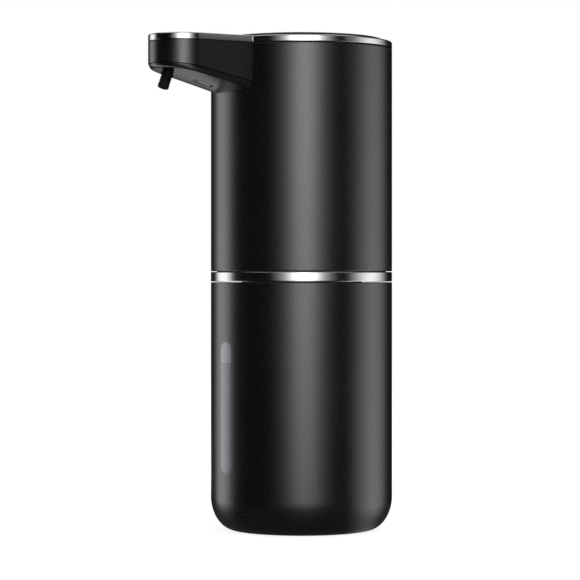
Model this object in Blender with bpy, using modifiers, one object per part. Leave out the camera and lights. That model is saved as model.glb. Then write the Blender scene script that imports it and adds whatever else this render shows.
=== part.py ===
"""Automatic soap dispenser: a bottle with a level window, and a motorised pump head with a spout.

Metres, +Z up. The origin is the centre of the foot's underside, and the spout points along -Y.
"""

import math

import bmesh
import bpy
from mathutils import Matrix, Vector

# Fits and counts
CLEARANCE = 0.0003
OVERRUN = 0.002
MERGE = 0.00001
ROUND_STEPS = 44
HIDDEN_STEPS = 24
SMALL_STEPS = 10
SCREW_STEPS = 8
ARC_STEPS = 5
SPOUT_STEPS = 12
KEYHOLE_STEPS = 38
SHARP_ANGLE = math.radians(35)

# Body
BODY_RADIUS = 0.0365
EDGE_CHAMFER = 0.0003

# Bottle
FOOT_STAND = 0.0008
FOOT_INSET = 0.0155
FOOT_RADIUS = BODY_RADIUS - FOOT_INSET
FOOT_THICKNESS = 0.0015
FOOT_CHAMFER = 0.0003
CORNER_RADIUS = 0.013
INNER_CORNER_RADIUS = 0.008
BOTTLE_WALL = 0.0018
BOTTLE_FLOOR = 0.0022
BOTTLE_HEIGHT = 0.0988
SHOULDER_THICKNESS = 0.002
SHOULDER_WIDTH = 0.0115
NECK_RADIUS = BODY_RADIUS - SHOULDER_WIDTH
NECK_WALL = 0.003
NECK_BORE_RADIUS = NECK_RADIUS - NECK_WALL
NECK_HEIGHT = 0.0107

# Level window
WINDOW_WIDTH = 0.0079
WINDOW_LOW = 0.0239
WINDOW_HEIGHT = 0.0525

# Ring and seal between the bottle and the head
RING_HEIGHT = 0.0038
SEAL_THICKNESS = 0.0013

# Head base
BASE_DECK_HEIGHT = 0.0068
BASE_RIM = 0.001
BASE_DECK_THICKNESS = 0.0024
SOCKET_WALL = 0.0025
SOCKET_ROOF = 0.002
GASKET_SECTION = 0.0008
GASKET_GROOVE_DEPTH = 0.0014
GASKET_DROP = 0.0004
BASE_SCREW_ANGLES = (-30, 90, 210)
BASE_SCREW_LENGTH = 0.009
SCREW_SHANK_RADIUS = 0.0012
SCREW_HEAD_RADIUS = 0.0023
SCREW_HEAD_HEIGHT = 0.0013
SCREW_RECESS_RADIUS = 0.0009
SCREW_RECESS_DEPTH = 0.0007
BOSS_WALL = 0.0009
BOSS_HEIGHT = 0.0095

# Head housing
HOUSING_HEIGHT = 0.0893
HOUSING_WALL = 0.0022

# Spout, seen from above: a round tip and two sides that spread towards the body
SPOUT_REACH = 0.0699
SPOUT_TIP_RADIUS = 0.0135
SPOUT_FLARE = math.radians(3.2)
SPOUT_FILLET = 0.002
FILLET_BITE = 0.00015
SPOUT_WALL = 0.0018
SPOUT_ROOT_INSIDE = 0.022
PASSAGE_WIDTH = 0.022
PASSAGE_SILL = 0.0115

# Spout, seen from the side: the lower edge of its wall, down from the housing's top
SPOUT_TIP_DEPTH = 0.0088
SPOUT_BEND_REACH = 0.016
SPOUT_TIP_SLOPE = 0.05
SPOUT_ROOT_SLOPE = 0.215

# Cover under the spout
COVER_WALL = 0.0016
COVER_EDGE_RADIUS = 0.0024
COVER_DEPTH_TIP = 0.0009
COVER_DEPTH_ROOT = 0.0026
COVER_CROWN = 0.0014
COVER_LIP_WALL = 0.0012
COVER_LIP_HEIGHT = 0.0022
COVER_END_WALL = 0.0014
COVER_RING_SHARES = (0, 0.12, 0.4, 1)

# Nozzle
NOZZLE_SETBACK = 0.0074
NOZZLE_PLACE = SPOUT_REACH - NOZZLE_SETBACK
NOZZLE_TILT = math.radians(20)
NOZZLE_RADIUS = 0.0022
NOZZLE_BORE_RADIUS = 0.0011
NOZZLE_DROP = 0.0088
NOZZLE_TIP_CHAMFER = 0.0004
NOZZLE_FLANGE_RADIUS = 0.0034
NOZZLE_FLANGE_HEIGHT = 0.0012
NOZZLE_HEAD_HEIGHT = 0.0058
NOZZLE_BARB_HEIGHT = 0.0042
NOZZLE_BARB_LENGTH = 0.0062

# Sensor
LENS_PLACE_SHARE = 0.404
LENS_PLACE = BODY_RADIUS + LENS_PLACE_SHARE * (NOZZLE_PLACE - BODY_RADIUS)
LENS_LENGTH_SHARE = 0.27
LENS_LENGTH = LENS_LENGTH_SHARE * (SPOUT_REACH - BODY_RADIUS)
LENS_WIDTH = 0.005
SENSOR_BOARD_MARGIN = 0.0015
SENSOR_BOARD_LENGTH = LENS_LENGTH + 2 * SENSOR_BOARD_MARGIN
SENSOR_BOARD_WIDTH = 0.014
SENSOR_BOARD_THICKNESS = 0.001
SENSOR_BOARD_DROP = 0.0092
SENSOR_POST_RADIUS = 0.0012
SENSOR_POST_SPREAD = 0.011
SENSOR_EYE_RADIUS = 0.0014
SENSOR_EYE_HEIGHT = 0.0022
SENSOR_EYE_SPREAD = 0.0044
SENSOR_DOME_SHARES = ((1, 0), (0.7, 0.7), (0, 1))

# Top trim and top panel
TRIM_HEIGHT = 0.00255
TRIM_WALL = 0.0017
TRIM_LEDGE_WIDTH = 0.0018
TRIM_LEDGE_THICKNESS = 0.0008
PANEL_DROP = 0.00015
TABLE_INSET = 0.0037
TABLE_RADIUS = BODY_RADIUS - TABLE_INSET
TABLE_RISE = 0.0012
TABLE_SHOULDER = 0.0009

# Power button and indicator
BUTTON_RADIUS = 0.009
BUTTON_PROUD = 0.0003
BUTTON_EDGE = 0.0003
BUTTON_FLANGE_WIDTH = 0.0015
BUTTON_FLANGE_THICKNESS = 0.0011
INDICATOR_PLACE = 0.0195
INDICATOR_LENGTH = 0.012
INDICATOR_WIDTH = 0.0024
INDICATOR_FLANGE = 0.0008
SWITCH_SIZE = 0.006
SWITCH_HEIGHT = 0.0031
PLUNGER_RADIUS = 0.0016
PLUNGER_HEIGHT = 0.0006
DISPLAY_BOARD_INSET = 0.0145
DISPLAY_BOARD_RADIUS = BODY_RADIUS - DISPLAY_BOARD_INSET
BOARD_THICKNESS = 0.0016

# Gear pump
PUMP_PLACE = (-0.013, 0.003)
GEAR_MODULE = 0.0011
GEAR_TEETH = 10
GEAR_PRESSURE_ANGLE = math.radians(25)
GEAR_BACKLASH = 0.0003
GEAR_CENTRE_PLAY = 0.00025
GEAR_WIDTH = 0.0061
GEAR_ROOT_SHARE = 1.1
GEAR_FLANK_STEPS = 3
SHAFT_RADIUS = 0.001
PUMP_WALL = 0.0037
PUMP_COVER_THICKNESS = 0.0025
PUMP_ROOF = 0.0063
PIN_RADIUS = 0.0012
PIN_SEAT_DEPTH = 0.002
PORT_OFFSET = 0.0046
PORT_RADIUS = 0.0018
INLET_RADIUS = 0.0019
INLET_LENGTH = 0.0095
INLET_BORE_RADIUS = 0.0011
OUTLET_HEIGHT_SHARE = 0.5
OUTLET_REACH = 0.0055
SEAL_POCKET_RADIUS = 0.0033
SEAL_POCKET_DEPTH = 0.004
SHAFT_SEAL_HEIGHT = 0.0017
PUMP_SCREW_ANGLES = (60, 120, 240, 300)
PUMP_SCREW_GAP = 0.0006
PUMP_SCREW_LENGTH = 0.0062
PUMP_SCREW_SHANK = 0.0009
PUMP_SCREW_HEAD = 0.0014
PUMP_SCREW_HEAD_HEIGHT = 0.0009

# Motor
MOTOR_RADIUS = 0.0122
MOTOR_LENGTH = 0.028
MOTOR_WALL = 0.001
MOTOR_BOSS_HEIGHT = 0.0018
MOTOR_CAP_THICKNESS = 0.002
MAGNET_THICKNESS = 0.002
MAGNET_LENGTH = 0.02
ROTOR_LENGTH = 0.018
ROTOR_POLES = 3
ROTOR_NECK_SHARE = 0.55
ROTOR_SLOT_SHARE = 0.18

# Battery
BATTERY_PLACE = (0.019, 0.004)
BATTERY_RADIUS = 0.0092
BATTERY_LENGTH = 0.065
BATTERY_CAP_RADIUS = 0.0032
BATTERY_CAP_HEIGHT = 0.0012
CRADLE_WALL = 0.0012
CRADLE_HEIGHT = 0.006
CRADLE_FLOOR = 0.0012

# Chassis and main board
SPINE_PLACE = 0.0158
SPINE_THICKNESS = 0.0018
SPINE_INSET = 0.0145
SPINE_WIDTH = 2 * (BODY_RADIUS - SPINE_INSET)
DECK_INSET = 0.0055
DECK_RADIUS = BODY_RADIUS - DECK_INSET
DECK_THICKNESS = 0.0018
DECK_FRONT = 0.0125
DECK_HEADROOM = 0.0024
DECK_POST_RADIUS = 0.002
DECK_POST_HEIGHT = 0.0012
DECK_POST_INSET = 0.004
DECK_POST_CIRCLE = DISPLAY_BOARD_RADIUS - DECK_POST_INSET
DECK_POST_ANGLES = (0, 90, 180)
BOARD_POST_RADIUS = 0.0018
BOARD_POST_HEIGHT = 0.0035
BOARD_MARGIN = 0.003
BOARD_WIDTH = SPINE_WIDTH - 2 * BOARD_MARGIN
BOARD_HEIGHT = 0.05
BOARD_EDGE = 0.004
CHIP_SIZE = 0.007
CHIP_HEIGHT = 0.001
COIL_PLACE_SHARE = 0.5
COIL_SIZE = 0.005
COIL_HEIGHT = 0.0028

# Charging socket and its cover
SOCKET_LEVEL = 0.0222
SOCKET_WIDTH = 0.0092
SOCKET_HEIGHT = 0.0034
SOCKET_SHELL = 0.0004
SOCKET_DEPTH = 0.0065
SOCKET_TONGUE_WIDTH = 0.0066
SOCKET_TONGUE_HEIGHT = 0.0007
SOCKET_TONGUE_GAP = 0.0012
PORT_WIDTH = 0.0155
PORT_HEIGHT = 0.0082
PORT_CORNER = 0.002
PORT_RECESS = 0.0013
PORT_PLUG_REACH = 0.0008
PORT_PLUG_INSET = 0.0004
PORT_GRIP_DEPTH = 0.0004
PORT_GRIP_HEIGHT = 0.0016
PORT_GRIP_WIDTH = 0.006

# Tubes and leads
HOSE_RADIUS = 0.0023
HOSE_BORE_RADIUS = 0.0016
BARB_RADIUS = HOSE_BORE_RADIUS - CLEARANCE
BARB_BORE_RADIUS = 0.0008
DIP_TUBE_WALL = 0.0011
DIP_TUBE_FOOT = 0.0105
FILTER_RADIUS = 0.0052
FILTER_BASE = 0.0055
FILTER_HEIGHT = 0.011
FILTER_SLOTS = 3
FILTER_SLOT_WIDTH = 0.0012
FILTER_SLOT_HEIGHT = 0.0032
FILTER_FLOOR = 0.0012
LEAD_RADIUS = 0.0007

# Levels, from the ground up
BOTTLE_TOP = FOOT_STAND + BOTTLE_HEIGHT
FOOT_RECESS_TOP = FOOT_THICKNESS + CLEARANCE
INNER_FLOOR = FOOT_RECESS_TOP + BOTTLE_FLOOR
NECK_TOP = BOTTLE_TOP + NECK_HEIGHT
RING_BOTTOM = BOTTLE_TOP + CLEARANCE
RING_TOP = RING_BOTTOM + RING_HEIGHT
HOUSING_BOTTOM = RING_TOP + CLEARANCE
HOUSING_TOP = HOUSING_BOTTOM + HOUSING_HEIGHT
BASE_BOTTOM = RING_BOTTOM + CLEARANCE
BASE_DECK = BASE_BOTTOM + BASE_DECK_HEIGHT
SEAL_BOTTOM = NECK_TOP + CLEARANCE
SOCKET_CEILING = SEAL_BOTTOM + SEAL_THICKNESS + CLEARANCE
SOCKET_TOP = SOCKET_CEILING + SOCKET_ROOF
TRIM_BOTTOM = HOUSING_TOP + CLEARANCE
TRIM_TOP = TRIM_BOTTOM + TRIM_HEIGHT
PANEL_BOTTOM = TRIM_BOTTOM + TRIM_LEDGE_THICKNESS + CLEARANCE
PANEL_TOP = TRIM_TOP - PANEL_DROP
TABLE_TOP = TRIM_TOP + TABLE_RISE
BUTTON_TOP = TABLE_TOP + BUTTON_PROUD
BUTTON_FLANGE_TOP = PANEL_BOTTOM - CLEARANCE
BUTTON_BOTTOM = BUTTON_FLANGE_TOP - BUTTON_FLANGE_THICKNESS
PUMP_COVER_BOTTOM = SOCKET_TOP + CLEARANCE
PUMP_COVER_TOP = PUMP_COVER_BOTTOM + PUMP_COVER_THICKNESS
PUMP_BOTTOM = PUMP_COVER_TOP + CLEARANCE
GEAR_BOTTOM = PUMP_BOTTOM + CLEARANCE
GEAR_TOP = GEAR_BOTTOM + GEAR_WIDTH
PUMP_CAVITY_TOP = GEAR_TOP + CLEARANCE
PUMP_TOP = PUMP_CAVITY_TOP + PUMP_ROOF
MOTOR_BOTTOM = PUMP_TOP + CLEARANCE
MOTOR_TOP = MOTOR_BOTTOM + MOTOR_LENGTH
BATTERY_BOTTOM = PUMP_COVER_BOTTOM + CRADLE_FLOOR + CLEARANCE
BATTERY_TOP = BATTERY_BOTTOM + BATTERY_LENGTH
DECK_BOTTOM = BATTERY_TOP + DECK_HEADROOM
DECK_TOP = DECK_BOTTOM + DECK_THICKNESS
DISPLAY_BOARD_BOTTOM = DECK_TOP + DECK_POST_HEIGHT + CLEARANCE
SWITCH_BOTTOM = DISPLAY_BOARD_BOTTOM + BOARD_THICKNESS + CLEARANCE
SENSOR_BOARD_BOTTOM = HOUSING_TOP - SENSOR_BOARD_DROP
SOCKET_MIDDLE = BASE_BOTTOM + SOCKET_LEVEL
PORT_HINGE_LEVEL = SOCKET_MIDDLE + PORT_HEIGHT / 2
BASE_RADIUS = BODY_RADIUS - HOUSING_WALL - CLEARANCE
BASE_SCREW_CIRCLE = (NECK_RADIUS + CLEARANCE + SOCKET_WALL + BASE_RADIUS - BASE_RIM) / 2
PITCH_RADIUS = GEAR_MODULE * GEAR_TEETH / 2
GEAR_OUTER_RADIUS = PITCH_RADIUS + GEAR_MODULE
IDLER_PLACE = (PUMP_PLACE[0] + 2 * PITCH_RADIUS + GEAR_CENTRE_PLAY, PUMP_PLACE[1])
MESH_X = (PUMP_PLACE[0] + IDLER_PLACE[0]) / 2
PUMP_CAVITY_RADIUS = GEAR_OUTER_RADIUS + CLEARANCE
PUMP_OUTER_RADIUS = PUMP_CAVITY_RADIUS + PUMP_WALL
INLET_Y = PUMP_PLACE[1] + PORT_OFFSET
SPOUT_TIP_CENTRE = SPOUT_REACH - SPOUT_TIP_RADIUS
SPOUT_EDGE_TIP = HOUSING_TOP - SPOUT_TIP_DEPTH

# Finishes: colour, roughness, metallic
SHELL_BLACK = ((0.022, 0.024, 0.026), 0.34, 0.0)
GLOSS_BLACK = ((0.008, 0.008, 0.009), 0.06, 0.0)
RUBBER_BLACK = ((0.012, 0.012, 0.012), 0.6, 0.0)
CHROME = ((0.82, 0.82, 0.82), 0.08, 1.0)
STEEL = ((0.55, 0.55, 0.56), 0.3, 1.0)
CLEAR_WINDOW = ((0.16, 0.18, 0.24), 0.2, 0.0)
DARK_LENS = ((0.01, 0.01, 0.015), 0.08, 0.0)
GREY_PLASTIC = ((0.32, 0.33, 0.34), 0.45, 0.0)
WHITE_PLASTIC = ((0.75, 0.75, 0.73), 0.4, 0.0)
SILICONE = ((0.7, 0.71, 0.7), 0.5, 0.0)
BOARD_GREEN = ((0.02, 0.12, 0.05), 0.4, 0.0)
CELL_BLUE = ((0.02, 0.1, 0.35), 0.35, 0.0)
MAGNET_GREY = ((0.06, 0.06, 0.065), 0.5, 0.0)
CHIP_BLACK = ((0.015, 0.015, 0.017), 0.35, 0.0)
LEAD_RED = ((0.4, 0.02, 0.02), 0.4, 0.0)


def clear_scene():
    for obj in list(bpy.data.objects):
        bpy.data.objects.remove(obj)


def new_collection(name):
    collection = bpy.data.collections.new(name)
    bpy.context.scene.collection.children.link(collection)
    return collection


clear_scene()
PARTS = new_collection("soap_dispenser")
CUTTERS = new_collection("cutters")


# Shapes. Each starts as a cutter, and becomes a part when it gets its finish.


def shape(name, mesh, place=(0, 0, 0), turn=(0, 0, 0)):
    obj = bpy.data.objects.new(name, mesh)
    obj.location = place
    obj.rotation_euler = turn
    obj.hide_render = True
    obj.display_type = "WIRE"
    CUTTERS.objects.link(obj)
    return obj


def part(obj, finish, carrier=None):
    """Gives a shape its name as a sub-part, its own material, and the empty that carries it."""
    colour, roughness, metallic = finish
    material = bpy.data.materials.new(obj.name)
    material.use_nodes = True
    shader = material.node_tree.nodes["Principled BSDF"]
    shader.inputs["Base Color"].default_value = (*colour, 1)
    shader.inputs["Roughness"].default_value = roughness
    shader.inputs["Metallic"].default_value = metallic
    obj.data.materials.append(material)
    obj.hide_render = False
    obj.display_type = "TEXTURED"
    CUTTERS.objects.unlink(obj)
    PARTS.objects.link(obj)
    if carrier:
        obj.parent = carrier
        obj.matrix_parent_inverse = Matrix.Translation(carrier.location).inverted()
    return obj


def axis_empty(name, place):
    empty = bpy.data.objects.new(name, None)
    empty.location = place
    PARTS.objects.link(empty)
    return empty


def combine(target, tool, operation):
    step = target.modifiers.new(tool.name, "BOOLEAN")
    step.operation = operation
    step.solver = "EXACT"
    step.object = tool
    return target


def cut(target, *tools):
    for tool in tools:
        combine(target, tool, "DIFFERENCE")
    return target


def join(target, *tools):
    for tool in tools:
        combine(target, tool, "UNION")
    return target


def common(target, tool):
    return combine(target, tool, "INTERSECT")


def bmesh_shape(name, bm, place=(0, 0, 0), turn=(0, 0, 0)):
    mesh = bpy.data.meshes.new(name)
    bm.to_mesh(mesh)
    bm.free()
    mesh.shade_smooth()
    mesh.set_sharp_from_angle(angle=SHARP_ANGLE)
    return shape(name, mesh, place, turn)


def block(name, low, high):
    """A box between two corners."""
    bm = bmesh.new()
    size = Vector(high) - Vector(low)
    bmesh.ops.create_cube(bm, size=1, matrix=Matrix.Diagonal((*size, 1)))
    return bmesh_shape(name, bm, (Vector(low) + Vector(high)) / 2)


def rod(name, radius, place, length, steps=SMALL_STEPS, turn=(0, 0, 0), tip_radius=None):
    """A cylinder or cone that starts at its place and runs along its own +Z."""
    bm = bmesh.new()
    bmesh.ops.create_cone(
        bm,
        cap_ends=True,
        segments=steps,
        radius1=radius,
        radius2=radius if tip_radius is None else tip_radius,
        depth=length,
        matrix=Matrix.Translation((0, 0, length / 2)),
    )
    return bmesh_shape(name, bm, place, turn)


def turned(name, profile, place=(0, 0, 0), steps=ROUND_STEPS, turn=(0, 0, 0), closed=False):
    """A profile of (radius, height) points, turned round Z. Its outer side runs top to bottom."""
    bm = bmesh.new()
    points = [bm.verts.new((radius, 0, height)) for radius, height in profile]
    ends = points[1:] + points[:1] if closed else points[1:]
    for start, end in zip(points, ends):
        bm.edges.new((start, end))
    obj = bmesh_shape(name, bm, place, turn)
    screw = obj.modifiers.new("Turn", "SCREW")
    screw.steps = steps
    screw.render_steps = steps
    screw.use_merge_vertices = True
    screw.merge_threshold = MERGE
    screw.use_smooth_shade = True
    return obj


def ring(name, inner, outer, low, high, place=(0, 0, 0), steps=ROUND_STEPS, chamfer=0, turn=(0, 0, 0)):
    """A turned ring of rectangular section, with a chamfer on its outer edges."""
    profile = [(inner, low), (inner, high), (outer - chamfer, high)]
    if chamfer:
        profile += [(outer, high - chamfer), (outer, low + chamfer)]
    else:
        profile += [(outer, high)]
    profile += [(outer - chamfer, low)]
    return turned(name, profile, place, steps, turn, closed=True)


def plate(name, outlines, low, high, place=(0, 0), turn=(0, 0, 0)):
    """Flat outlines, filled and given a thickness. An outline inside another is a hole."""
    curve = bpy.data.curves.new(name, "CURVE")
    curve.dimensions = "2D"
    curve.fill_mode = "BOTH"
    curve.extrude = (high - low) / 2
    for outline in outlines:
        spline = curve.splines.new("POLY")
        spline.points.add(len(outline) - 1)
        spline.use_cyclic_u = True
        for point, (x, y) in zip(spline.points, outline):
            point.co = (x, y, 0, 1)
    tilt = Matrix.Rotation(turn[2], 3, "Z") @ Matrix.Rotation(turn[0], 3, "X")
    middle = tilt @ Vector((0, 0, (low + high) / 2))
    return meshed(shape(name, curve, Vector((*place, 0)) + middle, turn))


def meshed(obj):
    """The curve as a welded mesh under the same name, at the same place."""
    graph = bpy.context.evaluated_depsgraph_get()
    mesh = bpy.data.meshes.new_from_object(obj.evaluated_get(graph))
    name, place, turn = obj.name, obj.location.copy(), obj.rotation_euler.copy()
    bpy.data.objects.remove(obj)
    bm = bmesh.new()
    bm.from_mesh(mesh)
    bmesh.ops.remove_doubles(bm, verts=bm.verts, dist=MERGE)
    bmesh.ops.recalc_face_normals(bm, faces=bm.faces)
    bpy.data.meshes.remove(mesh)
    return bmesh_shape(name, bm, place, turn)


def hose(name, points, radius, resolution=2):
    """A round tube along a smooth path."""
    curve = bpy.data.curves.new(name, "CURVE")
    curve.dimensions = "3D"
    curve.bevel_depth = radius
    curve.bevel_resolution = resolution
    curve.use_fill_caps = True
    spline = curve.splines.new("POLY")
    spline.points.add(len(points) - 1)
    for point, place in zip(spline.points, points):
        point.co = (*place, 1)
    return meshed(shape(name, curve))


# Outlines and paths


def arc(centre, radius, start, end, steps=ARC_STEPS):
    """Points along an arc, both ends included. Angles are in radians."""
    angles = [start + (end - start) * step / steps for step in range(steps + 1)]
    return [(centre[0] + radius * math.cos(a), centre[1] + radius * math.sin(a)) for a in angles]


def spaced(start, end, steps):
    """Equal steps from start to end, both included."""
    return [start + (end - start) * step / steps for step in range(steps + 1)]


def circle(radius, steps, centre=(0, 0)):
    return arc(centre, radius, 0, 2 * math.pi, steps)[:-1]


def slot_outline(length, width, steps=8):
    """A slot with round ends, long in its second coordinate."""
    reach = (length - width) / 2
    far = arc((0, reach), width / 2, 0, math.pi, steps)
    return far + arc((0, -reach), width / 2, math.pi, 2 * math.pi, steps)


def rounded_outline(width, height, corner, steps=4):
    right, top = width / 2 - corner, height / 2 - corner
    centres = ((right, top), (-right, top), (-right, -top), (right, -top))
    quarter = math.pi / 2
    outline = []
    for turn, centre in enumerate(centres):
        outline += arc(centre, corner, turn * quarter, (turn + 1) * quarter, steps)
    return outline


def around(radius, degrees):
    return (radius * math.cos(math.radians(degrees)), radius * math.sin(math.radians(degrees)))


def smooth_path(points, steps=2):
    """A Catmull-Rom curve through the points."""
    knots = [Vector(p) for p in points]
    knots = [2 * knots[0] - knots[1], *knots, 2 * knots[-1] - knots[-2]]
    path = []
    for before, start, end, after in zip(knots, knots[1:], knots[2:], knots[3:]):
        for step in range(steps):
            t = step / steps
            path.append(
                (
                    2 * start
                    + (end - before) * t
                    + (2 * before - 5 * start + 4 * end - after) * t**2
                    + (3 * start - before - 3 * end + after) * t**3
                )
                / 2
            )
    return [*path, knots[-2]]


# The spout's shape. Reach is the distance from the body's axis, along -Y.


def side_line(inset):
    """The right side of the spout's plan: its normal, its direction to the tip, and its distance."""
    normal = Vector((math.cos(SPOUT_FLARE), math.sin(SPOUT_FLARE)))
    along = Vector((-math.sin(SPOUT_FLARE), math.cos(SPOUT_FLARE)))
    distance = SPOUT_TIP_RADIUS - inset + SPOUT_TIP_CENTRE * math.sin(SPOUT_FLARE)
    return normal, along, distance


def tip_arc(inset, steps=SPOUT_STEPS):
    """The round tip, from the right side to the left, as (x, reach)."""
    radius = SPOUT_TIP_RADIUS - inset
    return arc((0, SPOUT_TIP_CENTRE), radius, SPOUT_FLARE, math.pi - SPOUT_FLARE, steps)


def root_fillet(inset, bite, steps=ARC_STEPS):
    """The hollow corner between the body's circle and the spout's right side, as (x, reach)."""
    normal, along, distance = side_line(inset)
    fillet = SPOUT_FILLET + inset
    from_axis = BODY_RADIUS - inset + fillet - bite
    offset = distance + fillet
    centre = offset * normal + math.sqrt(from_axis**2 - offset**2) * along
    start = math.atan2(-centre.y, -centre.x)
    end = math.atan2(-normal.y, -normal.x)
    return arc(centre, fillet, start, end, steps)


def mirrored(points):
    return [(-x, y) for x, y in reversed(points)]


def to_plan(points):
    """From (x, reach) to (x, y)."""
    return [(x, -reach) for x, reach in points]


def spout_plan(inset, root_reach, side_steps=ARC_STEPS):
    """The spout's plan at an inset, open towards the body at the root, as (x, reach)."""
    normal, along, distance = side_line(inset)
    tip = SPOUT_TIP_CENTRE * math.cos(SPOUT_FLARE)
    root = (root_reach - distance * normal.y) / along.y
    side = [distance * normal + step * along for step in spaced(root, tip, side_steps)]
    right = [(point.x, point.y) for point in side[:-1]]
    return right + tip_arc(inset) + mirrored(right)


def keyhole(inset, steps=KEYHOLE_STEPS):
    """The outline of the head's top, the body's circle and the spout in one, as (x, y)."""
    corner = root_fillet(inset, 0)
    start = math.atan2(corner[0][1], corner[0][0])
    back = arc((0, 0), BODY_RADIUS - inset, math.pi - start, 2 * math.pi + start, steps)
    return to_plan(corner + tip_arc(inset) + mirrored(corner) + back[1:-1])


def edge_height(reach):
    """The height of the spout wall's lower edge."""
    back = SPOUT_REACH - reach
    bend = min(max(back, 0), SPOUT_BEND_REACH)
    rise = SPOUT_TIP_SLOPE * bend + (SPOUT_ROOT_SLOPE - SPOUT_TIP_SLOPE) * bend**2 / (2 * SPOUT_BEND_REACH)
    return SPOUT_EDGE_TIP - rise - SPOUT_ROOT_SLOPE * max(back - SPOUT_BEND_REACH, 0)


def cover_depth(reach):
    """How far the cover's flat underside lies below the wall's lower edge."""
    share = (SPOUT_REACH - reach) / (SPOUT_REACH - BODY_RADIUS)
    return COVER_DEPTH_TIP + (COVER_DEPTH_ROOT - COVER_DEPTH_TIP) * share


def cover_under(reach, depth_in):
    """The height of the cover's underside at a distance in from its outline."""
    edge = min(depth_in / COVER_EDGE_RADIUS, 1)
    middle = max(depth_in - COVER_EDGE_RADIUS, 0) / (SPOUT_TIP_RADIUS - COVER_EDGE_RADIUS)
    share = (SPOUT_REACH - reach) / (SPOUT_REACH - BODY_RADIUS)
    crown = COVER_CROWN * share * (1 - (1 - min(middle, 1)) ** 2)
    return edge_height(reach) - cover_depth(reach) * math.sqrt(1 - (1 - edge) ** 2) - crown


def cover_form(name, inset, root_reach, rise=0, top=None):
    """The cover's solid form: rings of the spout's plan, each set further in and lower, then closed."""
    span = SPOUT_TIP_RADIUS - inset
    middle = COVER_EDGE_RADIUS + (span - COVER_EDGE_RADIUS) / 2
    insets = [share * COVER_EDGE_RADIUS for share in COVER_RING_SHARES]
    insets += [middle, span - COVER_EDGE_RADIUS / 4]
    bm = bmesh.new()
    outer = spout_plan(inset, root_reach)
    rows = [[(x, reach, edge_height(reach) if top is None else top) for x, reach in outer]]
    for depth_in in insets:
        plan = spout_plan(inset + depth_in, root_reach)
        rows.append([(x, reach, cover_under(reach, inset + depth_in) + rise) for x, reach in plan])
    if top is None:
        rows.pop(1)
    verts = [[bm.verts.new((x, -reach, height)) for x, reach, height in row] for row in rows]
    count = len(outer)
    for upper, lower in zip(verts, verts[1:]):
        for i in range(count):
            j = (i + 1) % count
            bm.faces.new((upper[i], upper[j], lower[j], lower[i]))
    for cap in (verts[0], verts[-1]):
        for i in range(count // 2):
            far = count - 1 - i
            corners = [cap[i], cap[i + 1], cap[far - 1], cap[far]]
            unique = list(dict.fromkeys(corners))
            if len(unique) > 2:
                bm.faces.new(unique)
    bmesh.ops.recalc_face_normals(bm, faces=bm.faces)
    return bmesh_shape(name, bm)


def side_prism(name, points, half_width):
    """A (reach, height) outline, given its thickness along X."""
    outline = [(-reach, height) for reach, height in points]
    return plate(name, [outline], -half_width, half_width, turn=(math.pi / 2, 0, math.pi / 2))


# Bottle


def bottle_shell():
    """The vessel, with its neck, its window's slot and the recess for its foot."""
    corner_level = FOOT_STAND + CORNER_RADIUS
    inner_radius = BODY_RADIUS - BOTTLE_WALL
    inner_corner = (inner_radius - INNER_CORNER_RADIUS, INNER_FLOOR + INNER_CORNER_RADIUS)
    recess = FOOT_RADIUS + CLEARANCE
    profile = [(0, INNER_FLOOR)]
    profile += arc(inner_corner, INNER_CORNER_RADIUS, -math.pi / 2, 0, 2)
    profile += [
        (inner_radius, BOTTLE_TOP - SHOULDER_THICKNESS),
        (NECK_BORE_RADIUS, BOTTLE_TOP - SHOULDER_THICKNESS),
        (NECK_BORE_RADIUS, NECK_TOP),
        (NECK_RADIUS, NECK_TOP),
        (NECK_RADIUS, BOTTLE_TOP),
        (BODY_RADIUS - EDGE_CHAMFER, BOTTLE_TOP),
        (BODY_RADIUS, BOTTLE_TOP - EDGE_CHAMFER),
    ]
    profile += arc((BODY_RADIUS - CORNER_RADIUS, corner_level), CORNER_RADIUS, 0, -math.pi / 2, 6)
    profile += [(recess, FOOT_STAND), (recess, FOOT_RECESS_TOP), (0, FOOT_RECESS_TOP)]
    shell = turned("bottle_shell", profile)
    cut(shell, window_prism("window_slot", 0))
    return part(shell, SHELL_BLACK)


def window_prism(name, inset):
    """A round-ended prism through the front wall, where the window sits."""
    outline = slot_outline(WINDOW_HEIGHT - 2 * inset, WINDOW_WIDTH - 2 * inset)
    low = BODY_RADIUS - BOTTLE_WALL - OVERRUN
    prism = plate(name, [outline], low, BODY_RADIUS + OVERRUN, turn=(math.pi / 2, 0, 0))
    prism.location.z = WINDOW_LOW + WINDOW_HEIGHT / 2
    return prism


def level_window():
    """A clear pane that follows the bottle's wall."""
    inner = BODY_RADIUS - BOTTLE_WALL
    pane = ring("level_window", inner, BODY_RADIUS, WINDOW_LOW, WINDOW_LOW + WINDOW_HEIGHT)
    return part(common(pane, window_prism("window_outline", CLEARANCE)), CLEAR_WINDOW)


def bottle_foot():
    profile = [
        (0, FOOT_THICKNESS),
        (FOOT_RADIUS, FOOT_THICKNESS),
        (FOOT_RADIUS, FOOT_CHAMFER),
        (FOOT_RADIUS - FOOT_CHAMFER, 0),
        (0, 0),
    ]
    return part(turned("bottle_foot", profile, steps=HIDDEN_STEPS), RUBBER_BLACK)


# Seal, ring and head base


def neck_seal(carrier):
    low = SEAL_BOTTOM
    seal = ring("neck_seal", NECK_BORE_RADIUS, NECK_RADIUS, low, low + SEAL_THICKNESS, steps=HIDDEN_STEPS)
    return part(seal, SILICONE, carrier)


def mid_ring(carrier):
    inner = BASE_RADIUS + CLEARANCE
    band = ring("mid_ring", inner, BODY_RADIUS, RING_BOTTOM, RING_TOP, chamfer=EDGE_CHAMFER)
    return part(band, CHROME, carrier)


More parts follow.
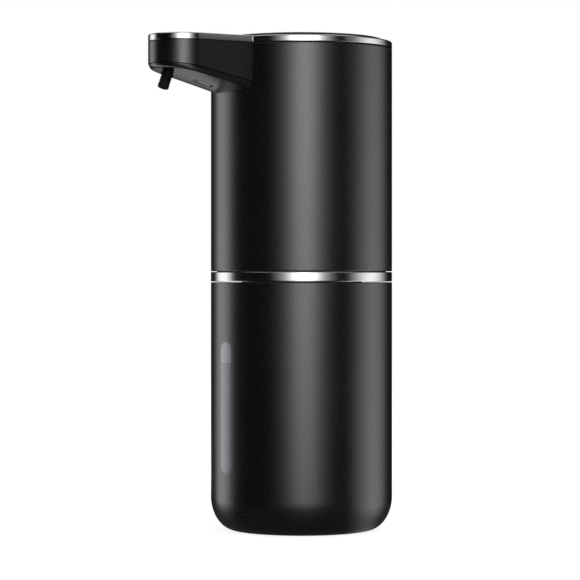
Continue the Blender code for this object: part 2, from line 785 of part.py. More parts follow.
def head_base(carrier):
    """Closes the head from below. Its socket goes over the bottle's neck."""
    socket = NECK_RADIUS + CLEARANCE
    outer = socket + SOCKET_WALL
    groove_top = BASE_DECK - GASKET_DROP
    groove_low = groove_top - GASKET_SECTION - 2 * CLEARANCE
    groove = BASE_RADIUS - GASKET_GROOVE_DEPTH
    profile = [
        (0, SOCKET_TOP),
        (outer, SOCKET_TOP),
        (outer, BASE_DECK),
        (BASE_RADIUS, BASE_DECK),
        (BASE_RADIUS, groove_top),
        (groove, groove_top),
        (groove, groove_low),
        (BASE_RADIUS, groove_low),
        (BASE_RADIUS, BASE_BOTTOM),
        (BASE_RADIUS - BASE_RIM, BASE_BOTTOM),
        (BASE_RADIUS - BASE_RIM, BASE_DECK - BASE_DECK_THICKNESS),
        (outer, BASE_DECK - BASE_DECK_THICKNESS),
        (outer, BASE_BOTTOM),
        (socket, BASE_BOTTOM),
        (socket, SOCKET_CEILING),
        (0, SOCKET_CEILING),
    ]
    base = turned("head_base", profile, steps=HIDDEN_STEPS)
    low = SOCKET_CEILING - OVERRUN
    spigot = (MESH_X, INLET_Y, low)
    cut(base, rod("inlet_hole", INLET_RADIUS + CLEARANCE, spigot, SOCKET_ROOF + 2 * OVERRUN))
    for number, angle in enumerate(BASE_SCREW_ANGLES, 1):
        place = (*around(BASE_SCREW_CIRCLE, angle), BASE_DECK - BASE_DECK_THICKNESS - OVERRUN)
        depth = BASE_DECK_THICKNESS + 2 * OVERRUN
        cut(base, rod(f"base_hole_{number}", SCREW_SHANK_RADIUS + CLEARANCE, place, depth))
    return part(base, GREY_PLASTIC, carrier)


def base_gasket(carrier):
    """A ring in the base's groove that keeps splashes out of the head."""
    high = BASE_DECK - GASKET_DROP - CLEARANCE
    low = high - GASKET_SECTION
    inner = BASE_RADIUS - GASKET_GROOVE_DEPTH + CLEARANCE
    gasket = ring("base_gasket", inner, BASE_RADIUS, low, high, steps=HIDDEN_STEPS)
    return part(gasket, RUBBER_BLACK, carrier)


def screw(name, place, length, shank, head, head_height, carrier):
    """A screw that is driven upwards: its head is at the bottom, with a round recess."""
    profile = [
        (0, length),
        (shank, length),
        (shank, 0),
        (head, 0),
        (head, -head_height),
        (0, -head_height),
    ]
    bolt = turned(name, profile, place, SCREW_STEPS)
    foot = (place[0], place[1], place[2] - head_height - OVERRUN)
    depth = SCREW_RECESS_DEPTH + OVERRUN
    recess = rod(f"{name}_recess", SCREW_RECESS_RADIUS, foot, depth, SCREW_STEPS)
    return part(cut(bolt, recess), STEEL, carrier)


def base_screws(carrier):
    for number, angle in enumerate(BASE_SCREW_ANGLES, 1):
        place = (*around(BASE_SCREW_CIRCLE, angle), BASE_DECK - BASE_DECK_THICKNESS - CLEARANCE)
        screw(
            f"base_screw_{number}",
            place,
            BASE_SCREW_LENGTH,
            SCREW_SHANK_RADIUS,
            SCREW_HEAD_RADIUS,
            SCREW_HEAD_HEIGHT,
            carrier,
        )


# Head housing and what closes it


def head_housing(carrier):
    """One moulding: the head's round wall, the spout's wall, screw bosses and the charging port."""
    shell = turned(
        "head_housing",
        [
            (0, HOUSING_TOP + OVERRUN),
            (BODY_RADIUS, HOUSING_TOP + OVERRUN),
            (BODY_RADIUS, HOUSING_BOTTOM),
            (0, HOUSING_BOTTOM),
        ],
    )
    corner = root_fillet(0, FILLET_BITE)
    root = (corner[0][0], SPOUT_ROOT_INSIDE)
    outline = [root, *corner, *tip_arc(0), *mirrored(corner), (-root[0], root[1])]
    low = edge_height(BODY_RADIUS) - OVERRUN
    spout = plate("spout_block", [to_plan(outline)], low - OVERRUN, HOUSING_TOP + 2 * OVERRUN)
    steps = spaced(BODY_RADIUS - OVERRUN, SPOUT_REACH + OVERRUN, SPOUT_STEPS)
    below = [(reach, edge_height(reach) + CLEARANCE) for reach in steps]
    far = steps[-1]
    inner = SPOUT_ROOT_INSIDE - OVERRUN
    deep = low - 2 * OVERRUN
    below = [(inner, below[0][1]), *below, (far, deep), (inner, deep)]
    cut(spout, side_prism("spout_underside", below, BODY_RADIUS))
    join(shell, spout)
    top = 2 * SPOUT_REACH
    above = block("housing_top_plane", (-top, -top, HOUSING_TOP), (top, top, HOUSING_TOP + 3 * OVERRUN))
    cut(shell, above)
    inside = BASE_RADIUS + CLEARANCE
    height = HOUSING_TOP - HOUSING_BOTTOM + 2 * OVERRUN
    cut(shell, rod("head_cavity", inside, (0, 0, HOUSING_BOTTOM - OVERRUN), height, ROUND_STEPS))
    cavity_root = BODY_RADIUS + FILLET_BITE + CLEARANCE
    cavity = to_plan(spout_plan(SPOUT_WALL, cavity_root))
    cut(shell, plate("spout_cavity", [cavity], deep, HOUSING_TOP + OVERRUN))
    sill = HOUSING_TOP - PASSAGE_SILL
    half = PASSAGE_WIDTH / 2
    corner_high = (half, -inside / 2, HOUSING_TOP + OVERRUN)
    cut(shell, block("spout_passage", (-half, -cavity_root - OVERRUN, sill), corner_high))
    for number, angle in enumerate(BASE_SCREW_ANGLES, 1):
        foot = BASE_DECK + CLEARANCE
        join(shell, plate(f"boss_{number}", [boss_outline(angle)], foot, foot + BOSS_HEIGHT))
        place = (*around(BASE_SCREW_CIRCLE, angle), foot - OVERRUN)
        cut(shell, rod(f"boss_hole_{number}", SCREW_SHANK_RADIUS + CLEARANCE, place, BOSS_HEIGHT))
    floor = BODY_RADIUS - PORT_RECESS
    low = SOCKET_MIDDLE - PORT_HEIGHT
    recess = ring("port_recess", floor, BODY_RADIUS + OVERRUN, low, low + 2 * PORT_HEIGHT)
    cut(shell, common(recess, port_prism("port_outline", PORT_WIDTH, PORT_HEIGHT, floor - OVERRUN)))
    mouth_width = SOCKET_WIDTH + 2 * CLEARANCE
    mouth_height = SOCKET_HEIGHT + 2 * CLEARANCE
    cut(shell, port_prism("port_mouth", mouth_width, mouth_height, inside - OVERRUN))
    return part(shell, SHELL_BLACK, carrier)


def boss_outline(angle):
    """A round boss, drawn out to the head's wall."""
    radius = SCREW_SHANK_RADIUS + CLEARANCE + BOSS_WALL
    reach = BODY_RADIUS - HOUSING_WALL / 2 - radius - BASE_SCREW_CIRCLE
    outward = Matrix.Rotation(math.radians(angle - 90), 2)
    slot = slot_outline(reach + 2 * radius, 2 * radius)
    moved = [outward @ Vector((x, y + reach / 2 + BASE_SCREW_CIRCLE)) for x, y in slot]
    return [(point.x, point.y) for point in moved]


def port_prism(name, width, height, low):
    """A rounded prism along +Y through the back wall, at the charging socket's level."""
    corner = min(PORT_CORNER, height / 2)
    outline = rounded_outline(width, height, corner)
    prism = plate(name, [outline], low, BODY_RADIUS + OVERRUN, turn=(math.pi / 2, 0, math.pi))
    prism.location.z = SOCKET_MIDDLE
    return prism


def spout_cover(carrier):
    """The crowned tray that closes the spout from below. It holds the nozzle and the sensor lens."""
    tray = cover_form("spout_cover", CLEARANCE, BODY_RADIUS - OVERRUN)
    lip_inset = SPOUT_WALL + CLEARANCE
    root = BODY_RADIUS + FILLET_BITE + 2 * CLEARANCE
    lip = to_plan(spout_plan(lip_inset, root))
    lip_top = SPOUT_EDGE_TIP + COVER_LIP_HEIGHT
    lip_low = edge_height(root) - COVER_EDGE_RADIUS / 4
    lip_plate = plate("cover_lip", [lip], lip_low, lip_top)
    under = [(root - OVERRUN, lip_low - OVERRUN), (root - OVERRUN, lip_low)]
    steps = spaced(root, SPOUT_REACH, SPOUT_STEPS)
    under += [(reach, edge_height(reach) - COVER_EDGE_RADIUS / 4) for reach in steps]
    under += [(SPOUT_REACH, lip_low - OVERRUN)]
    cut(lip_plate, side_prism("lip_underside", under, BODY_RADIUS))
    join(tray, lip_plate)
    pocket_root = root + COVER_END_WALL
    pocket_inset = lip_inset + COVER_LIP_WALL
    pocket = cover_form("cover_pocket", pocket_inset, pocket_root, COVER_WALL, lip_top + OVERRUN)
    cut(tray, pocket)
    half = PASSAGE_WIDTH / 2
    sill = HOUSING_TOP - PASSAGE_SILL
    corner_high = (half, -BODY_RADIUS, lip_top + OVERRUN)
    cut(tray, block("cover_passage", (-half, -pocket_root - OVERRUN, sill), corner_high))
    body_gap = BODY_RADIUS + CLEARANCE
    cut(tray, rod("cover_body_gap", body_gap, (0, 0, HOUSING_BOTTOM), HOUSING_HEIGHT, ROUND_STEPS))
    for side in (-1, 1):
        floor = edge_height(LENS_PLACE) - COVER_WALL
        foot = (side * SENSOR_POST_SPREAD / 2, -LENS_PLACE, floor)
        height = SENSOR_BOARD_BOTTOM - CLEARANCE - floor
        join(tray, rod(f"sensor_post_{side}", SENSOR_POST_RADIUS, foot, height))
    cut(tray, lens_prism("lens_hole", 0))
    seat = nozzle_frame()
    tilt = (-NOZZLE_TILT, 0, 0)
    foot = seat @ Vector((0, 0, -NOZZLE_DROP))
    hole = rod("nozzle_hole", NOZZLE_RADIUS + CLEARANCE, foot, 2 * NOZZLE_DROP, turn=tilt)
    flange = NOZZLE_FLANGE_RADIUS + CLEARANCE
    cut(tray, hole, rod("nozzle_seat", flange, seat.translation, NOZZLE_DROP, turn=tilt))
    return part(tray, SHELL_BLACK, carrier)


def nozzle_frame():
    """The nozzle's own axes: its origin is where its flange rests, and it points down along -Z."""
    height = cover_under(NOZZLE_PLACE, SPOUT_TIP_RADIUS) + COVER_WALL
    place = Matrix.Translation((0, -NOZZLE_PLACE, height))
    return place @ Matrix.Rotation(-NOZZLE_TILT, 4, "X")


def lens_prism(name, inset):
    outline = slot_outline(LENS_LENGTH - 2 * inset, LENS_WIDTH - 2 * inset)
    low = edge_height(BODY_RADIUS) - 3 * COVER_DEPTH_ROOT
    return plate(name, [outline], low, SENSOR_BOARD_BOTTOM, (0, -LENS_PLACE))


def sensor_lens(carrier):
    """A dark window that follows the cover's underside."""
    lens = cover_form("sensor_lens", CLEARANCE, BODY_RADIUS - OVERRUN)
    common(lens, lens_prism("lens_outline", CLEARANCE))
    pocket_inset = SPOUT_WALL + COVER_LIP_WALL
    above = cover_form("lens_back", pocket_inset, BODY_RADIUS, COVER_WALL, HOUSING_TOP)
    return part(cut(lens, above), DARK_LENS, carrier)


def nozzle_barb_start():
    """Where the nozzle's barb leaves its axis, level towards the body."""
    return nozzle_frame() @ Vector((0, 0, NOZZLE_BARB_HEIGHT))


def nozzle(carrier):
    """The tilted outlet: a tube with a flange inside the cover, and a head with a level barb for the hose."""
    profile = [
        (0, NOZZLE_HEAD_HEIGHT),
        (NOZZLE_RADIUS, NOZZLE_HEAD_HEIGHT),
        (NOZZLE_RADIUS, CLEARANCE + NOZZLE_FLANGE_HEIGHT),
        (NOZZLE_FLANGE_RADIUS, CLEARANCE + NOZZLE_FLANGE_HEIGHT),
        (NOZZLE_FLANGE_RADIUS, CLEARANCE),
        (NOZZLE_RADIUS, CLEARANCE),
        (NOZZLE_RADIUS, NOZZLE_TIP_CHAMFER - NOZZLE_DROP),
        (NOZZLE_RADIUS - NOZZLE_TIP_CHAMFER, -NOZZLE_DROP),
        (0, -NOZZLE_DROP),
    ]
    seat = nozzle_frame()
    tilt = (-NOZZLE_TILT, 0, 0)
    tube = turned("nozzle", profile, seat.translation, SMALL_STEPS, tilt)
    level = (-math.pi / 2, 0, 0)
    barb = nozzle_barb_start()
    join(tube, rod("nozzle_barb", BARB_RADIUS, barb, NOZZLE_BARB_LENGTH, turn=level))
    foot = seat @ Vector((0, 0, -NOZZLE_DROP - OVERRUN))
    depth = NOZZLE_DROP + NOZZLE_BARB_HEIGHT + OVERRUN
    cut(tube, rod("nozzle_bore", NOZZLE_BORE_RADIUS, foot, depth, turn=tilt))
    length = NOZZLE_BARB_LENGTH + OVERRUN
    cut(tube, rod("nozzle_barb_bore", BARB_BORE_RADIUS, barb, length, turn=level))
    return part(tube, RUBBER_BLACK, carrier)


def top_trim(carrier):
    """A bright frame round the head's top, with a ledge that the panel rests on."""
    outlines = [keyhole(0), keyhole(TRIM_WALL + TRIM_LEDGE_WIDTH)]
    frame = plate("top_trim", outlines, TRIM_BOTTOM, TRIM_TOP)
    ledge_top = TRIM_BOTTOM + TRIM_LEDGE_THICKNESS
    cut(frame, plate("trim_pocket", [keyhole(TRIM_WALL)], ledge_top, TRIM_TOP + OVERRUN))
    return part(frame, CHROME, carrier)


def top_panel(carrier):
    """The glossy top: a keyhole plate with a raised round table, a button hole and a lens slot."""
    panel = plate("top_panel", [keyhole(TRIM_WALL + CLEARANCE)], PANEL_BOTTOM, PANEL_TOP)
    shoulder = (TABLE_RADIUS - TABLE_SHOULDER, TABLE_TOP - TABLE_SHOULDER)
    table = turned(
        "panel_table",
        [
            (0, TABLE_TOP),
            *arc(shoulder, TABLE_SHOULDER, math.pi / 2, 0, 3),
            (TABLE_RADIUS, PANEL_TOP - TABLE_SHOULDER),
            (0, PANEL_TOP - TABLE_SHOULDER),
        ],
    )
    join(panel, table)
    height = TABLE_TOP - PANEL_BOTTOM + 2 * OVERRUN
    low = PANEL_BOTTOM - OVERRUN
    cut(panel, rod("button_hole", BUTTON_RADIUS + CLEARANCE, (0, 0, low), height, HIDDEN_STEPS))
    cut(panel, indicator_prism("indicator_slot", 0, low, low + height))
    return part(panel, GLOSS_BLACK, carrier)


def power_button(carrier):
    flange = BUTTON_RADIUS + BUTTON_FLANGE_WIDTH
    profile = [
        (0, BUTTON_TOP),
        (BUTTON_RADIUS - BUTTON_EDGE, BUTTON_TOP),
        (BUTTON_RADIUS, BUTTON_TOP - BUTTON_EDGE),
        (BUTTON_RADIUS, BUTTON_FLANGE_TOP),
        (flange, BUTTON_FLANGE_TOP),
        (flange, BUTTON_BOTTOM),
        (0, BUTTON_BOTTOM),
    ]
    return part(turned("power_button", profile, steps=HIDDEN_STEPS), GLOSS_BLACK, carrier)


def indicator_prism(name, inset, low, high):
    slot = slot_outline(INDICATOR_LENGTH - 2 * inset, INDICATOR_WIDTH - 2 * inset)
    return plate(name, [[(y, x) for x, y in slot]], low, high, (0, -INDICATOR_PLACE))


def indicator_lens(carrier):
    """A light guide in the panel, flush with the table, with a flange below the panel."""
    flange_top = PANEL_BOTTOM - CLEARANCE
    low = flange_top - INDICATOR_FLANGE
    lens = indicator_prism("indicator_lens", CLEARANCE, low + INDICATOR_FLANGE / 2, TABLE_TOP)
    flange = indicator_prism("indicator_flange", -INDICATOR_FLANGE, low, flange_top)
    return part(join(lens, flange), WHITE_PLASTIC, carrier)


# Pump


def pump_outline(radius, steps=10):
    """A slot outline round both gear axes."""
    right = arc(IDLER_PLACE, radius, -math.pi / 2, math.pi / 2, steps)
    left = arc(PUMP_PLACE, radius, math.pi / 2, 3 * math.pi / 2, steps)
    return right + left


def pump_screw_places():
    """On each gear's axis circle, in the wall outside the gear cavity."""
    circle_radius = PUMP_CAVITY_RADIUS + PUMP_SCREW_SHANK + CLEARANCE + PUMP_SCREW_GAP
    for angle in PUMP_SCREW_ANGLES:
        centre = IDLER_PLACE if math.cos(math.radians(angle)) > 0 else PUMP_PLACE
        x, y = around(circle_radius, angle)
        yield centre[0] + x, centre[1] + y


def outlet_level():
    return PUMP_BOTTOM + OUTLET_HEIGHT_SHARE * (PUMP_CAVITY_TOP - PUMP_BOTTOM)


def pump_housing(carrier):
    """Holds the gears between its roof and the cover, and carries the motor on top."""
    body = plate("pump_housing", [pump_outline(PUMP_OUTER_RADIUS)], PUMP_BOTTOM, PUMP_TOP)
    depth = PUMP_CAVITY_TOP - PUMP_BOTTOM + OVERRUN
    low = PUMP_BOTTOM - OVERRUN
    for name, centre in (("drive", PUMP_PLACE), ("idler", IDLER_PLACE)):
        cut(body, rod(f"{name}_cavity", PUMP_CAVITY_RADIUS, (*centre, low), depth, HIDDEN_STEPS))
    for name, y in (("inlet", INLET_Y), ("outlet", PUMP_PLACE[1] - PORT_OFFSET)):
        cut(body, rod(f"{name}_port", PORT_RADIUS, (MESH_X, y, low), depth - CLEARANCE))
    port_y = PUMP_PLACE[1] - PORT_OFFSET
    tip = PUMP_PLACE[1] - PUMP_OUTER_RADIUS - OUTLET_REACH
    start = (MESH_X, PUMP_PLACE[1] - PUMP_OUTER_RADIUS + OVERRUN / 2, outlet_level())
    join(body, rod("outlet_barb", BARB_RADIUS, start, start[1] - tip, turn=(math.pi / 2, 0, 0)))
    inner_end = (MESH_X, port_y, outlet_level())
    length = port_y - tip + OVERRUN
    cut(body, rod("outlet_bore", BARB_BORE_RADIUS, inner_end, length, turn=(math.pi / 2, 0, 0)))
    seal_floor = (*PUMP_PLACE, PUMP_TOP - SEAL_POCKET_DEPTH)
    cut(body, rod("seal_pocket", SEAL_POCKET_RADIUS, seal_floor, SEAL_POCKET_DEPTH + OVERRUN))
    cut(body, rod("shaft_hole", SHAFT_RADIUS + CLEARANCE, (*PUMP_PLACE, low), PUMP_TOP - low))
    pin_low = (*IDLER_PLACE, PUMP_CAVITY_TOP - OVERRUN)
    pin_depth = PIN_SEAT_DEPTH + OVERRUN + CLEARANCE
    cut(body, rod("pin_seat", PIN_RADIUS + CLEARANCE, pin_low, pin_depth))
    hole_radius, hole_depth = PUMP_SCREW_SHANK + CLEARANCE, PUMP_SCREW_LENGTH + OVERRUN
    for number, (x, y) in enumerate(pump_screw_places(), 1):
        cut(body, rod(f"pump_hole_{number}", hole_radius, (x, y, low), hole_depth, SCREW_STEPS))
    return part(body, GREY_PLASTIC, carrier)


def pump_cover(carrier):
    """Closes the gear cavity from below. Its spigot reaches through the head base to the dip tube."""
    cover = plate("pump_cover", [pump_outline(PUMP_OUTER_RADIUS)], PUMP_COVER_BOTTOM, PUMP_COVER_TOP)
    foot = PUMP_COVER_BOTTOM - INLET_LENGTH
    spigot_length = INLET_LENGTH + PUMP_COVER_THICKNESS / 2
    join(cover, rod("inlet_spigot", INLET_RADIUS, (MESH_X, INLET_Y, foot), spigot_length))
    bore_length = PUMP_COVER_TOP - foot + 2 * OVERRUN
    cut(cover, rod("inlet_bore", INLET_BORE_RADIUS, (MESH_X, INLET_Y, foot - OVERRUN), bore_length))
    low = PUMP_COVER_BOTTOM - OVERRUN
    through = PUMP_COVER_THICKNESS + 2 * OVERRUN
    sink = PUMP_SCREW_HEAD_HEIGHT + 2 * CLEARANCE + OVERRUN
    shank, head = PUMP_SCREW_SHANK + CLEARANCE, PUMP_SCREW_HEAD + CLEARANCE
    for number, (x, y) in enumerate(pump_screw_places(), 1):
        cut(cover, rod(f"cover_hole_{number}", shank, (x, y, low), through, SCREW_STEPS))
        cut(cover, rod(f"cover_sink_{number}", head, (x, y, low), sink, SCREW_STEPS))
    return part(cover, GREY_PLASTIC, carrier)


def pump_screws(carrier):
    level = PUMP_COVER_BOTTOM + PUMP_SCREW_HEAD_HEIGHT + CLEARANCE
    length = PUMP_SCREW_LENGTH - CLEARANCE
    shank, head, height = PUMP_SCREW_SHANK, PUMP_SCREW_HEAD, PUMP_SCREW_HEAD_HEIGHT
    for number, (x, y) in enumerate(pump_screw_places(), 1):
        screw(f"pump_screw_{number}", (x, y, level), length, shank, head, height, carrier)


def gear_outline(phase):
    """Involute teeth. The flanks leave the backlash free, and the phase turns the first tooth."""
    base = PITCH_RADIUS * math.cos(GEAR_PRESSURE_ANGLE)
    root = PITCH_RADIUS - GEAR_ROOT_SHARE * GEAR_MODULE
    pitch = 2 * math.pi / GEAR_TEETH
    involute_at_pitch = math.tan(GEAR_PRESSURE_ANGLE) - GEAR_PRESSURE_ANGLE
    half_tooth = pitch / 4 - GEAR_BACKLASH / 2 / PITCH_RADIUS + involute_at_pitch
    start = max(base, root)
    flank = []
    for step in range(GEAR_FLANK_STEPS + 1):
        radius = start + (GEAR_OUTER_RADIUS - start) * step / GEAR_FLANK_STEPS
        roll = math.sqrt(max((radius / base) ** 2 - 1, 0))
        flank.append((radius, half_tooth - (roll - math.atan(roll))))
    flank = [(root, flank[0][1]), *flank] if root < base else flank
    outline = []
    for tooth in range(GEAR_TEETH):
        middle = phase + tooth * pitch
        rising = [(radius, middle - angle) for radius, angle in flank]
        falling = [(radius, middle + angle) for radius, angle in reversed(flank)]
        outline += [(radius * math.cos(a), radius * math.sin(a)) for radius, a in rising + falling]
    return outline


def gear(name, phase, place, bore, carrier):
    outlines = [gear_outline(phase), circle(bore, SMALL_STEPS)]
    return part(plate(name, outlines, GEAR_BOTTOM, GEAR_TOP, place), WHITE_PLASTIC, carrier)


def idler_pin(carrier):
    low = GEAR_BOTTOM
    length = PUMP_CAVITY_TOP + PIN_SEAT_DEPTH - low
    return part(rod("idler_pin", PIN_RADIUS, (*IDLER_PLACE, low), length), STEEL, carrier)


def shaft_seal(carrier):
    low = PUMP_TOP - SEAL_POCKET_DEPTH + CLEARANCE
    outer = SEAL_POCKET_RADIUS - CLEARANCE
    inner = SHAFT_RADIUS + CLEARANCE
    high = low + SHAFT_SEAL_HEIGHT
    collar = ring("shaft_seal", inner, outer, low, high, (*PUMP_PLACE, 0), SMALL_STEPS)
    return part(collar, RUBBER_BLACK, carrier)


# Motor


def motor_can(carrier):
    """A drawn cup: its front has a boss round the shaft, and its open end takes the end cap."""
    inner = MOTOR_RADIUS - MOTOR_WALL
    hole = SHAFT_RADIUS + CLEARANCE
    boss = SEAL_POCKET_RADIUS - CLEARANCE
    profile = [
        (hole, MOTOR_BOTTOM - MOTOR_BOSS_HEIGHT),
        (hole, MOTOR_BOTTOM + MOTOR_WALL),
        (inner, MOTOR_BOTTOM + MOTOR_WALL),
        (inner, MOTOR_TOP),
        (MOTOR_RADIUS, MOTOR_TOP),
        (MOTOR_RADIUS, MOTOR_BOTTOM),
        (boss, MOTOR_BOTTOM),
        (boss, MOTOR_BOTTOM - MOTOR_BOSS_HEIGHT),
    ]
    can = turned("motor_can", profile, (*PUMP_PLACE, 0), HIDDEN_STEPS, closed=True)
    return part(can, STEEL, carrier)


def motor_end_cap(carrier):
    plug = MOTOR_RADIUS - MOTOR_WALL - CLEARANCE
    low = MOTOR_TOP + CLEARANCE
    profile = [
        (0, low + MOTOR_CAP_THICKNESS),
        (MOTOR_RADIUS, low + MOTOR_CAP_THICKNESS),
        (MOTOR_RADIUS, low),
        (plug, low),
        (plug, low - MOTOR_CAP_THICKNESS),
        (0, low - MOTOR_CAP_THICKNESS),
    ]
    cap = turned("motor_end_cap", profile, (*PUMP_PLACE, 0), HIDDEN_STEPS)
    return part(cap, WHITE_PLASTIC, carrier)


def motor_magnets(carrier):
    outer = MOTOR_RADIUS - MOTOR_WALL - CLEARANCE
    low = MOTOR_BOTTOM + MOTOR_WALL + CLEARANCE
    inner = outer - MAGNET_THICKNESS
    high = low + MAGNET_LENGTH
    sleeve = ring("motor_magnets", inner, outer, low, high, (*PUMP_PLACE, 0), HIDDEN_STEPS)
    return part(sleeve, MAGNET_GREY, carrier)


def motor_shaft(carrier):
    length = MOTOR_TOP - MOTOR_CAP_THICKNESS - GEAR_BOTTOM
    return part(rod("motor_shaft", SHAFT_RADIUS, (*PUMP_PLACE, GEAR_BOTTOM), length), STEEL, carrier)


def rotor_outline():
    """Poles with narrow necks, and slots between them for the windings."""
    outer = MOTOR_RADIUS - MOTOR_WALL - MAGNET_THICKNESS - 3 * CLEARANCE
    pitch = 2 * math.pi / ROTOR_POLES
    slot = pitch * ROTOR_SLOT_SHARE / 2
    neck = outer * ROTOR_NECK_SHARE
    outline = []
    for pole in range(ROTOR_POLES):
        start = pole * pitch + slot
        outline += arc((0, 0), outer, start, start + pitch - 2 * slot, 6)
        outline += arc((0, 0), neck, start + pitch - 2 * slot, start + pitch, 2)
    return outline


def motor_rotor(carrier):
    low = MOTOR_BOTTOM + MOTOR_WALL + CLEARANCE + (MAGNET_LENGTH - ROTOR_LENGTH) / 2
    outlines = [rotor_outline(), circle(SHAFT_RADIUS + CLEARANCE, SMALL_STEPS)]
    core = plate("motor_rotor", outlines, low, low + ROTOR_LENGTH, PUMP_PLACE)
    return part(core, STEEL, carrier)


# Power and electronics


def battery_cell(carrier):
    cap_top = BATTERY_TOP
    shoulder = cap_top - BATTERY_CAP_HEIGHT
    profile = [
        (0, cap_top),
        (BATTERY_CAP_RADIUS, cap_top),
        (BATTERY_CAP_RADIUS, shoulder),
        (BATTERY_RADIUS, shoulder),
        (BATTERY_RADIUS, BATTERY_BOTTOM),
        (0, BATTERY_BOTTOM),
    ]
    cell = turned("battery_cell", profile, (*BATTERY_PLACE, 0), HIDDEN_STEPS)
    return part(cell, CELL_BLUE, carrier)


def chassis(carrier):
    """The frame that holds the battery, the boards and the deck under the top panel."""
    half = SPINE_WIDTH / 2
    back = SPINE_PLACE + SPINE_THICKNESS
    low = PUMP_COVER_BOTTOM
    spine = block("chassis", (-half, SPINE_PLACE, low), (half, back, DECK_TOP - DECK_THICKNESS / 2))
    deck = rod("deck", DECK_RADIUS, (0, 0, DECK_BOTTOM), DECK_THICKNESS, HIDDEN_STEPS)
    past = DECK_RADIUS + OVERRUN
    front = (-past, -past, DECK_BOTTOM - OVERRUN), (past, -DECK_FRONT, DECK_TOP + OVERRUN)
    join(spine, cut(deck, block("deck_front", *front)))
    foot = (*BATTERY_PLACE, low)
    cradle_radius = BATTERY_RADIUS + CLEARANCE + CRADLE_WALL
    cradle = rod("cradle", cradle_radius, foot, CRADLE_HEIGHT, HIDDEN_STEPS)
    open_side = IDLER_PLACE[0] + PUMP_OUTER_RADIUS + CLEARANCE
    relief_high = (open_side, SPINE_PLACE - OVERRUN, low + CRADLE_HEIGHT + OVERRUN)
    cut(cradle, block("cradle_relief", (-DECK_RADIUS, -DECK_RADIUS, low - OVERRUN), relief_high))
    bridge_low = (BATTERY_PLACE[0] - BATTERY_RADIUS / 2, BATTERY_PLACE[1], low)
    bridge_high = (half - CRADLE_WALL, back - SPINE_THICKNESS / 2, low + CRADLE_FLOOR)
    join(spine, cradle, block("cradle_bridge", bridge_low, bridge_high))
    floor = (*BATTERY_PLACE, low + CRADLE_FLOOR)
    cut(spine, rod("cradle_pocket", BATTERY_RADIUS + CLEARANCE, floor, CRADLE_HEIGHT, HIDDEN_STEPS))
    for number, angle in enumerate(DECK_POST_ANGLES, 1):
        post_low = DECK_BOTTOM + DECK_THICKNESS / 2
        height = DECK_TOP + DECK_POST_HEIGHT - post_low
        place = (*around(DECK_POST_CIRCLE, angle), post_low)
        join(spine, rod(f"deck_post_{number}", DECK_POST_RADIUS, place, height))
    start = SPINE_PLACE + SPINE_THICKNESS / 2
    length = back + BOARD_POST_HEIGHT - start
    backward = (-math.pi / 2, 0, 0)
    for number, (x, z) in enumerate(board_post_places(), 1):
        post = rod(f"board_post_{number}", BOARD_POST_RADIUS, (x, start, z), length, turn=backward)
        join(spine, post)
    return part(spine, GREY_PLASTIC, carrier)


def board_bottom():
    return SOCKET_MIDDLE - SOCKET_HEIGHT / 2 - BOARD_EDGE


def board_post_places():
    half = BOARD_WIDTH / 2 - BOARD_EDGE
    for x in (-half, half):
        for z in (board_bottom() + BOARD_EDGE, board_bottom() + BOARD_HEIGHT - BOARD_EDGE):
            yield x, z


def board_face():
    """The Y of the main board's inner face."""
    return SPINE_PLACE + SPINE_THICKNESS + BOARD_POST_HEIGHT + CLEARANCE


def main_board(carrier):
    """The control board, upright behind the spine, with its chip and its charging coil."""
    half = BOARD_WIDTH / 2
    low, near = board_bottom(), board_face()
    far = near + BOARD_THICKNESS
    board = block("main_board", (-half, near, low), (half, far, low + BOARD_HEIGHT))
    middle = low + BOARD_HEIGHT / 2
    sink = BOARD_THICKNESS / 2
    chip_high = (CHIP_SIZE / 2, far + CHIP_HEIGHT, middle + CHIP_SIZE)
    chip = block("chip", (-CHIP_SIZE / 2, far - sink, middle), chip_high)
    coil_x = half * COIL_PLACE_SHARE
    coil_high = (coil_x + COIL_SIZE, far + COIL_HEIGHT, middle)
    coil = block("coil", (coil_x, far - sink, middle - COIL_SIZE), coil_high)
    return part(join(board, chip, coil), BOARD_GREEN, carrier)


def charging_socket(carrier):
    """A flat oval metal shell with a tongue inside, open towards the port."""
    outer = rounded_outline(SOCKET_WIDTH, SOCKET_HEIGHT, SOCKET_HEIGHT / 2)
    start = board_face() + BOARD_THICKNESS + CLEARANCE
    end = BODY_RADIUS - PORT_RECESS - CLEARANCE
    turn = (math.pi / 2, 0, math.pi)
    shell = plate("charging_socket", [outer], start, end, turn=turn)
    inner_height = SOCKET_HEIGHT - 2 * SOCKET_SHELL
    inner = rounded_outline(SOCKET_WIDTH - 2 * SOCKET_SHELL, inner_height, inner_height / 2)
    mouth = plate("socket_mouth", [inner], end - SOCKET_DEPTH, end + OVERRUN, turn=turn)
    tongue = rounded_outline(SOCKET_TONGUE_WIDTH, SOCKET_TONGUE_HEIGHT, SOCKET_TONGUE_HEIGHT / 4)
    blade_low = end - SOCKET_DEPTH - OVERRUN / 2
    blade = plate("socket_tongue", [tongue], blade_low, end - SOCKET_TONGUE_GAP, turn=turn)
    for piece in (shell, mouth, blade):
        piece.location.z = SOCKET_MIDDLE
    return part(join(cut(shell, mouth), blade), STEEL, carrier)


